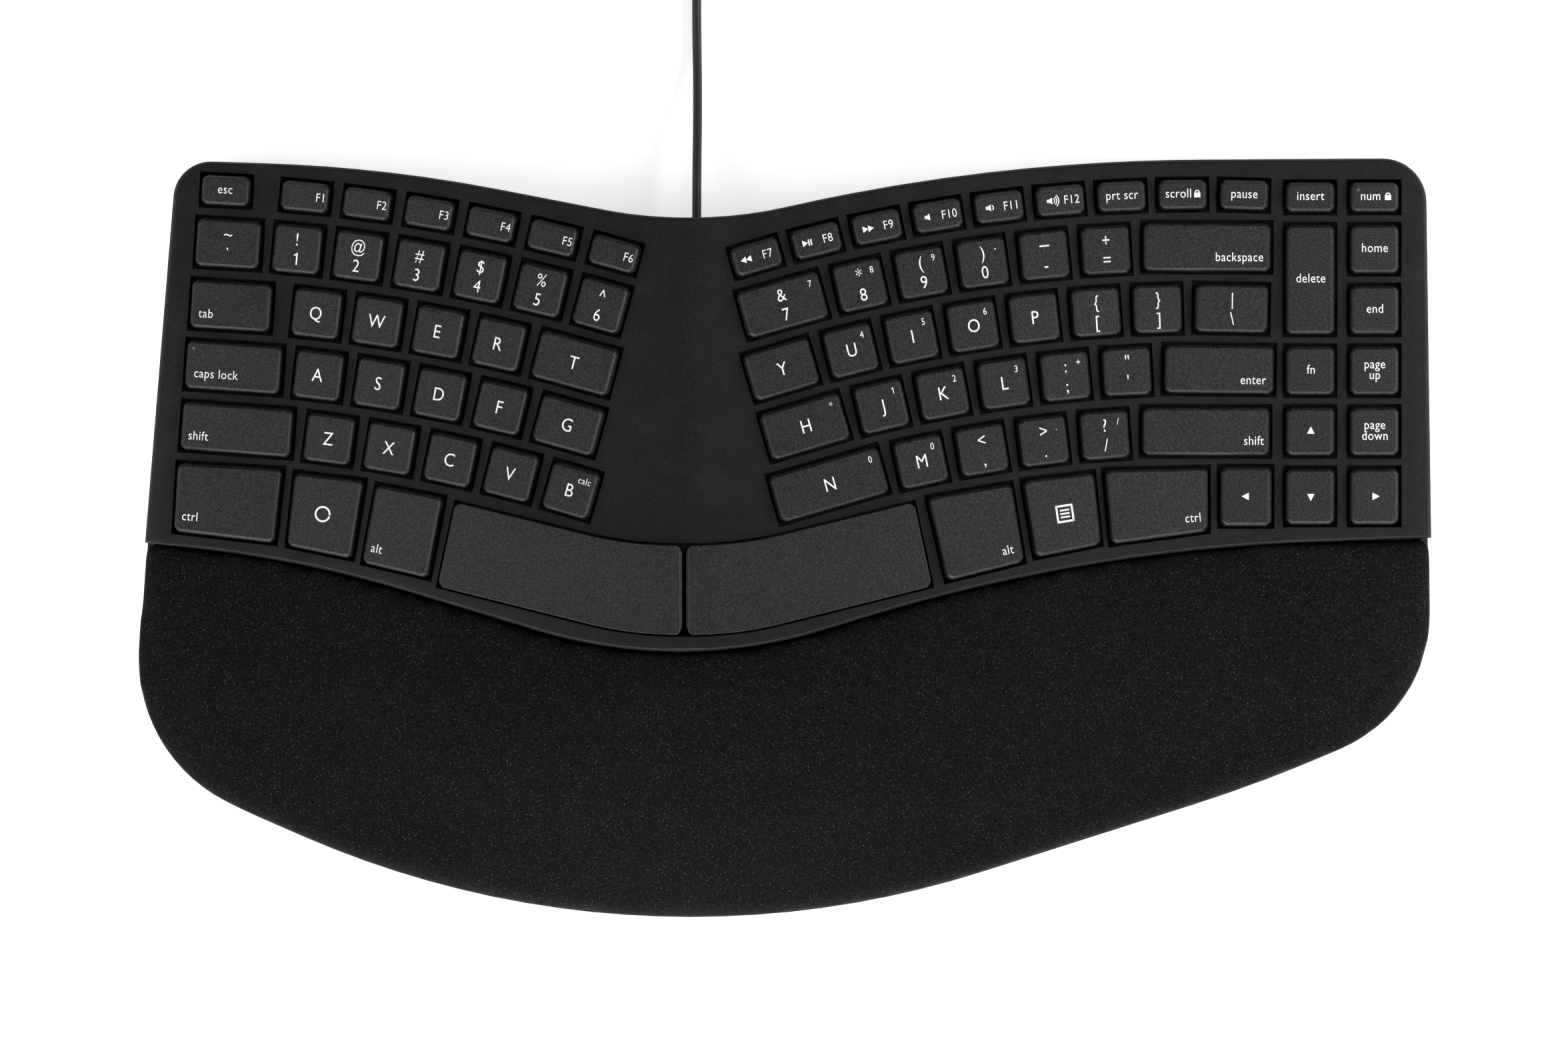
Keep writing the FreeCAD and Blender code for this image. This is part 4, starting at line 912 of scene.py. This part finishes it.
def homing_bar(copy, cap):
    """The raised bar near the front of the two keys on which the first fingers rest."""
    u, v = cap.centre
    made = bmesh.ops.create_cube(copy, size=1.0)
    bmesh.ops.scale(copy, vec=HOMING_BAR, verts=made["verts"])
    bmesh.ops.transform(copy, matrix=cap.place(u, v - HOMING_DOWN, 0), verts=made["verts"])
    edges = [edge for edge in copy.edges if edge.verts[0] in set(made["verts"])]
    round_edges(copy, edges, 0.18 * MM, 2, clamp=False)


def lock_light(copy, cap):
    """The small clear lens near the back left corner."""
    made = bmesh.ops.create_uvsphere(copy, u_segments=12, v_segments=6, radius=LENS_RADIUS)
    bmesh.ops.scale(copy, vec=(1, 1, 0.4), verts=made["verts"])
    corner = cap.place(cap.low_u + LENS_IN, cap.high_v - LENS_DOWN, 0)
    bmesh.ops.transform(copy, matrix=corner, verts=made["verts"])
    for face in {face for vertex in made["verts"] for face in vertex.link_faces}:
        face.material_index = LENS_SLOT
        face.smooth = True


def build_caps(node):
    copy = merged_copy(node, CAP_FLAT)
    caps = named_caps(node, copy)
    round_caps(copy, caps)
    smooth_with_creases(copy, CAP_CREASE)
    for cap in caps:
        if cap.name in HOMING_KEYS:
            homing_bar(copy, cap)
        if cap.name in LAMP_KEYS:
            lock_light(copy, cap)
    printer = Printer(copy, bpy.context.scene.keyboard_keys.print_lift)
    for cap in caps:
        print_legends(printer, cap)
    keep_flats_flat(finished_piece("caps_" + node, copy, node, node, CAP_FINISHES))


# Pieces that aren't keys


def build_domes():
    """The domes under each node's keys, one piece per level sheet."""
    caps = []
    for node in list(BANKS) + SINGLE_KEYS:
        copy = merged_copy(node, CAP_FLAT)
        caps += [(node, cap) for cap in named_caps(node, copy)]
        copy.free()
    copy = merged_copy("rubber_domes")
    stacks = {}
    for group in islands(copy):
        node, cap = min(caps, key=lambda one: one[1].beside(middle(group)))
        foot = min(vertex.co.dot(cap.out) for vertex in group)
        sheet = (node, tuple(round(part, 3) for part in cap.out), round(foot, 4))
        stacks.setdefault(sheet, (cap.out, []))[1].append(group)
    for number, (sheet, (out, groups)) in enumerate(stacks.items(), 1):
        node = sheet[0]
        name = "domes_%02d_%s" % (number, node)
        foot = min((vertex.co for vertex in groups[0]), key=lambda point: point.dot(out))
        piece = finished_piece(name, part_of(copy, groups), "case", "rubber_domes", ["dome_rubber"])
        node + "_press"
        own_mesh(piece)
    copy.free()


def part_of(copy, groups):
    """A bmesh with only the given groups of vertices and their faces."""
    part = bmesh.new()
    for group in groups:
        twins = {vertex: part.verts.new(vertex.co) for vertex in group}
        for face in copy.faces:
            if face.verts[0] in twins:
                part.faces.new([twins[vertex] for vertex in face.verts])
    return part


# An aperture's walls are this steep and meet at more than this angle, in the upper part of the whole height
STEEP = 0.5
WALL_ANGLE = math.radians(60)
UPPER_PART = 0.3


def aperture_corners(copy):
    """The upright edges where two walls of an aperture meet."""
    found = []
    for edge in copy.edges:
        if len(edge.link_faces) != 2 or edge.is_convex:
            continue
        walls = all(abs(face.normal.z) < STEEP for face in edge.link_faces)
        upper = max(vertex.co.z for vertex in edge.verts)
        if walls and edge.calc_face_angle(0) > WALL_ANGLE and upper > cad_box[1].z * UPPER_PART:
            found.append(edge)
    return found


def build_cover():
    copy = merged_copy("top_cover", COVER_FLAT)
    round_edges(copy, aperture_corners(copy), bpy.context.scene.keyboard_keys.aperture_round, 3)
    smooth_with_creases(copy, COVER_CREASE)
    keep_flats_flat(finished_piece("cover", copy, "case", "top_cover", ["cover_plastic"]))


# The pad's simulation: its frames, the foam's pressure, and how near its neighbours the skin is held
CLOTH_FRAMES = 12
FOAM_PRESSURE = 4.0
HELD_REACH = 1.6
# How often the swelling is averaged with the neighbours', which takes out the cloth's creases
LIFT_ROUNDS = 14


def build_pad():
    """The palm rest's soft skin, swollen over its foam by a cloth simulation, from its base to the cover."""
    sizes = bpy.context.scene.keyboard_pad
    skin = merged_copy("palm_rest_pad")
    piece = finished_piece("palm_pad", skin, "case", "palm_rest_pad", ["palm_leather"])
    grid = piece.modifiers.new("grid", "REMESH")
    grid.mode = "VOXEL"
    grid.voxel_size = sizes.voxel
    smoothing(piece, "soften")
    apply_modifiers(piece)
    swell(piece, held_vertices(piece), sizes.swell)
    finer = piece.modifiers.new("finer", "SUBSURF")
    finer.levels = 1
    finer.render_levels = 1
    apply_modifiers(piece)
    for polygon in piece.data.polygons:
        polygon.use_smooth = True


def smoothing(piece, name):
    made = piece.modifiers.new(name, "SMOOTH")
    made.factor = 0.5
    made.iterations = 4
    return made


def held_vertices(piece):
    """Where the skin is glued: what lies within so many voxels of the base, the cover or the tray."""
    reach = HELD_REACH * bpy.context.scene.keyboard_pad.voxel
    trees = []
    for node in ("palm_rest_base", "top_cover", "bottom_cover"):
        copy = merged_copy(node)
        trees.append(BVHTree.FromBMesh(copy))
        copy.free()
    return [vertex.index for vertex in piece.data.vertices
            if any(tree.find_nearest(vertex.co, reach)[0] for tree in trees)]


def swell(piece, held, limit):
    """Blows the skin up from inside for a few frames and keeps how far each point rises, up to the limit."""
    start = [vertex.co.copy() for vertex in piece.data.vertices]
    normals = [vertex.normal.copy() for vertex in piece.data.vertices]
    group = piece.vertex_groups.new(name="held")
    group.add(held, 1.0, "REPLACE")
    cloth = piece.modifiers.new("cloth", "CLOTH")
    cloth.settings.quality = 4
    cloth.settings.vertex_group_mass = group.name
    cloth.settings.use_pressure = True
    cloth.settings.uniform_pressure_force = FOAM_PRESSURE
    cloth.settings.effector_weights.gravity = 0.0
    cloth.point_cache.frame_start = 1
    cloth.point_cache.frame_end = CLOTH_FRAMES
    scene = bpy.context.scene
    for frame_number in range(1, CLOTH_FRAMES + 1):
        scene.frame_set(frame_number)
    evaluated = piece.evaluated_get(bpy.context.evaluated_depsgraph_get())
    blown = [vertex.co.copy() for vertex in evaluated.data.vertices]
    piece.modifiers.remove(cloth)
    scene.frame_set(1)
    lifts = [min(max((new - old).dot(normal), 0), limit)
             for old, new, normal in zip(start, blown, normals)]
    lifts = evened(piece.data, lifts, LIFT_ROUNDS)
    for vertex, old, normal, lift in zip(piece.data.vertices, start, normals, lifts):
        vertex.co = old + normal * lift
    even = smoothing(piece, "even")
    even.vertex_group = group.name
    even.invert_vertex_group = True
    apply_modifiers(piece)
    piece.vertex_groups.clear()


def evened(mesh, values, rounds):
    """The points' values, each drawn halfway to the mean of its neighbours' in every round."""
    for _ in range(rounds):
        totals = [0.0] * len(values)
        counts = [0] * len(values)
        for edge in mesh.edges:
            first, second = edge.vertices
            totals[first] += values[second]
            totals[second] += values[first]
            counts[first] += 1
            counts[second] += 1
        values = [(value + total / count) / 2 for value, total, count in zip(values, totals, counts)]
    return values


# The free stretch of the cord in millimetres: how far back from the strain relief, how high, how far aside
CORD_RUNS = [(0, 12.0, 0), (14, 11.4, 0), (30, 6.6, 0.2), (46, 2.4, 0.1), (63, 1.6, -0.2), (80, 2.5, 0),
             (96, 2.6, 0)]
# The coil: its layers, the turns of each, of a climb and of the way out to the plug, the points of a turn,
# and how far from the axis the plug lies, in millimetres
COIL_LAYERS = 4
LAYER_TURNS = 2.75
CLIMB_TURNS = 0.5
TAIL_TURNS = 0.5
POINTS_PER_TURN = 16
PLUG_OFFSET = 15.5
# The share of the way out that the cord takes to reach the plug's height, and then its side
TAIL_SHARE = 0.65


def gentle(share):
    """A share from 0 to 1 that starts and ends slowly."""
    share = max(0.0, min(1.0, share))
    return share * share * (3 - 2 * share)


def coil_point(turn, end, plug_height):
    """A point of the wound cord, in millimetres."""
    sizes = bpy.context.scene.keyboard_cord
    step = sizes.step / MM
    half = LAYER_TURNS * step / 2
    inner = sizes.middle_diameter / MM / 2 - half
    outer = inner + 2 * half
    part = LAYER_TURNS + CLIMB_TURNS
    layer = min(int(turn / part + 1e-9), COIL_LAYERS - 1)
    within = turn - layer * part
    start, stop, sign = (outer, inner, -1) if layer % 2 == 0 else (inner, outer, 1)
    height = end.z + layer * step
    if within <= LAYER_TURNS:
        radius = start + sign * step * within
    elif layer < COIL_LAYERS - 1:
        share = (within - LAYER_TURNS) / CLIMB_TURNS
        radius = stop + sign * step * CLIMB_TURNS / math.pi * math.sin(math.pi * share)
        height += step * gentle(share)
    else:
        share = (within - LAYER_TURNS) / TAIL_TURNS
        radius = stop + (PLUG_OFFSET - stop) * gentle((share - 1 + TAIL_SHARE) / TAIL_SHARE)
        height += (plug_height - height) * gentle(share / TAIL_SHARE)
    angle = 2 * math.pi * turn
    return Vector((end.x - outer + radius * math.cos(angle), end.y + radius * math.sin(angle), height))


def build_cord():
    sizes = bpy.context.scene.keyboard_cord
    low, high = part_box("usb_cable")
    start_x = (low.x + high.x) / 2 / MM
    start_y = low.y / MM
    runs = [Vector((start_x + aside, start_y + back, up)) for back, up, aside in CORD_RUNS]
    grip_low, grip_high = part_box("usb_plug_grip")
    plug_height = (grip_low.z + grip_high.z) / 2 / MM
    turns = COIL_LAYERS * LAYER_TURNS + (COIL_LAYERS - 1) * CLIMB_TURNS + TAIL_TURNS
    count = int(round(turns * POINTS_PER_TURN))
    wound = [coil_point(turns * i / count, runs[-1], plug_height) for i in range(1, count + 1)]
    wound.append(wound[-1] + Vector((0, sizes.diameter / MM, 0)))
    points = runs + wound
    curve = bpy.data.curves.new("cord", "CURVE")
    curve.dimensions = "3D"
    spline = curve.splines.new("NURBS")
    spline.points.add(len(points) - 1)
    for target, point in zip(spline.points, points):
        target.co = (point.x * MM, point.y * MM, point.z * MM, 1.0)
    spline.order_u = 3
    spline.use_endpoint_u = True
    curve.bevel_depth = sizes.diameter / 2
    curve.bevel_resolution = 3
    curve.resolution_u = 4
    curve.use_fill_caps = True
    curve.materials.append(finishes["cord_sleeve"])
    cord = placed("cord", curve)
    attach(cord, "case")
    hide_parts("usb_cable", "cable_coil")


def dress_nodes():
    """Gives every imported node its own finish."""
    for part in frame["record"]["subparts"]:
        for place in NODES[part["node"]].material_slots:
            place.material = finishes[part["material_slot"]]


# Stage

# How brightly the camera and glossy surfaces see the floor shine, on top of its lit colour
FLOOR_GLOW = 0.45
WORLD_COLOUR = (0.95, 0.96, 1.0)
WORLD_STRENGTH = 0.24
# Each lamp's name, place, the point that it lights, its width and height, and its power
LAMPS = [
    ("front_box", (-0.2, -1.5, 0.30), (0, 0, 0.02), (2.2, 0.5), 42.0),
    ("left_box", (-0.5, 0.0, 0.3), (-0.15, 0, 0.02), (0.7, 0.25), 1.6),
    ("right_box", (0.5, 0.0, 0.3), (0.15, 0, 0.02), (0.7, 0.25), 4.0),
    ("top_box", (-1.25, -0.35, 1.6), (0, 0, 0.02), (0.7, 0.7), 6.0),
    ("right_top_box", (0.45, 0.1, 1.8), (0, 0, 0.02), (0.7, 0.7), 2.5),
]
# The height of the keys' tops, at which the picture has its width
KEY_HEIGHT = 0.022
SENSOR_WIDTH = 36.0


def floor_finish():
    finish = Finish("floor", 0.9, Specular_IOR_Level=0.1)
    finish.colour(finish.blend(finish.noise(3.0, 2.0), (0.88, 0.88, 0.88), (0.9, 0.9, 0.9)))
    seen = finish.node("ShaderNodeLightPath", {}, {}, "Is Camera Ray")
    glossy = finish.node("ShaderNodeLightPath", {}, {}, "Is Glossy Ray")
    glow = finish.node("ShaderNodeEmission", {}, {
        "Color": (1, 1, 1, 1), "Strength": (seen + glossy) * FLOOR_GLOW})
    lit = Wire(finish, finish.shader.outputs[0])
    both = finish.node("ShaderNodeAddShader", {}, {0: lit, 1: glow})
    finish.feed(finish.tree.nodes["Material Output"].inputs["Surface"], both)
    return finish.material


def build_floor():
    maker = bmesh.new()
    bmesh.ops.create_grid(maker, x_segments=8, y_segments=8, size=4.0)
    floor = placed("floor", freed_mesh("floor", maker))
    floor.data.materials.append(floor_finish())


def area_lamp(name, at, aim, size, power):
    lamp = bpy.data.lights.new(name, "AREA")
    lamp.shape = "RECTANGLE"
    lamp.size, lamp.size_y = size
    lamp.energy = power
    holder = placed(name, lamp)
    holder.location = at
    holder.rotation_euler = (Vector(aim) - Vector(at)).to_track_quat("-Z", "Y").to_euler()


def build_lights():
    world = bpy.data.worlds.new("studio")
    bpy.context.scene.world = world
    world.use_nodes = True
    glow = world.node_tree.nodes["Background"].inputs
    glow["Color"].default_value = rgba(WORLD_COLOUR)
    glow["Strength"].default_value = WORLD_STRENGTH
    for lamp in LAMPS:
        area_lamp(*lamp)


def build_camera():
    stage = bpy.context.scene.keyboard_stage
    lens = bpy.data.cameras.new("camera")
    lens.sensor_width = SENSOR_WIDTH
    lens.lens = SENSOR_WIDTH * (stage.camera_height - KEY_HEIGHT) / stage.frame_width
    camera = placed("camera", lens)
    camera.location = (0, stage.centre_y, stage.camera_height)
    bpy.context.scene.camera = camera


# Operators

class KEYBOARD_OT_finishes(bpy.types.Operator):
    """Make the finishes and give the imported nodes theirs"""
    bl_idname = "keyboard.finishes"
    bl_label = "Finishes"

    def execute(self, context):
        finishes.update(make_finishes())
        dress_nodes()
        return {"FINISHED"}


class KEYBOARD_OT_stage(bpy.types.Operator):
    """Set up the floor, the lamps and the camera"""
    bl_idname = "keyboard.stage"
    bl_label = "Stage"

    def execute(self, context):
        context.scene.view_settings.view_transform = "Standard"
        build_floor()
        build_lights()
        build_camera()
        return {"FINISHED"}


class KEYBOARD_OT_cord(bpy.types.Operator):
    """Lay the cord out of the back and wind its rest into a coil"""
    bl_idname = "keyboard.cord"
    bl_label = "Cord"

    def execute(self, context):
        build_cord()
        return {"FINISHED"}


class KEYBOARD_OT_cover(bpy.types.Operator):
    """Build the top cover"""
    bl_idname = "keyboard.cover"
    bl_label = "Cover"

    def execute(self, context):
        build_cover()
        return {"FINISHED"}


class KEYBOARD_OT_caps(bpy.types.Operator):
    """Build every key cap with its printed legend"""
    bl_idname = "keyboard.caps"
    bl_label = "Key caps"

    def execute(self, context):
        for node in list(BANKS) + SINGLE_KEYS:
            build_caps(node)
        return {"FINISHED"}


class KEYBOARD_OT_domes(bpy.types.Operator):
    """Build the rubber domes under the keys"""
    bl_idname = "keyboard.domes"
    bl_label = "Rubber domes"

    def execute(self, context):
        build_domes()
        return {"FINISHED"}


class KEYBOARD_OT_pad(bpy.types.Operator):
    """Build the padded palm rest"""
    bl_idname = "keyboard.pad"
    bl_label = "Palm rest"

    def execute(self, context):
        build_pad()
        return {"FINISHED"}


class KEYBOARD_PT_panel(bpy.types.Panel):
    """Lists the steps and sizes of the keyboard"""
    bl_idname = "KEYBOARD_PT_panel"
    bl_label = "Keyboard"
    bl_space_type = "VIEW_3D"
    bl_region_type = "UI"
    bl_category = "Keyboard"

    def draw(self, context):
        for step in STEPS:
            self.layout.operator(step.bl_idname)
        for group in GROUPS:
            for label in GROUPS[group].__annotations__:
                self.layout.prop(getattr(context.scene, group), label)


GROUPS = {
    "keyboard_keys": KeySizes, "keyboard_colours": Colours, "keyboard_pad": PadSizes,
    "keyboard_cord": CordSizes, "keyboard_stage": StageSizes,
}
STEPS = [KEYBOARD_OT_finishes, KEYBOARD_OT_stage, KEYBOARD_OT_cord, KEYBOARD_OT_cover,
         KEYBOARD_OT_caps, KEYBOARD_OT_domes, KEYBOARD_OT_pad]


def register():
    for group in GROUPS.values():
        bpy.utils.register_class(group)
    for label, group in GROUPS.items():
        setattr(bpy.types.Scene, label, bpy.props.PointerProperty(type=group))
    for step in STEPS:
        bpy.utils.register_class(step)
    bpy.utils.register_class(KEYBOARD_PT_panel)


def unregister():
    bpy.utils.unregister_class(KEYBOARD_PT_panel)
    for step in reversed(STEPS):
        bpy.utils.unregister_class(step)
    for label, group in GROUPS.items():
        delattr(bpy.types.Scene, label)
        bpy.utils.unregister_class(group)


def main():
    register()
    bpy.ops.keyboard.finishes()
    bpy.ops.keyboard.stage()
    bpy.ops.keyboard.cord()
    bpy.ops.keyboard.cover()
    bpy.ops.keyboard.caps()
    bpy.ops.keyboard.domes()
    bpy.ops.keyboard.pad()


if __name__ == "__main__":
    main()
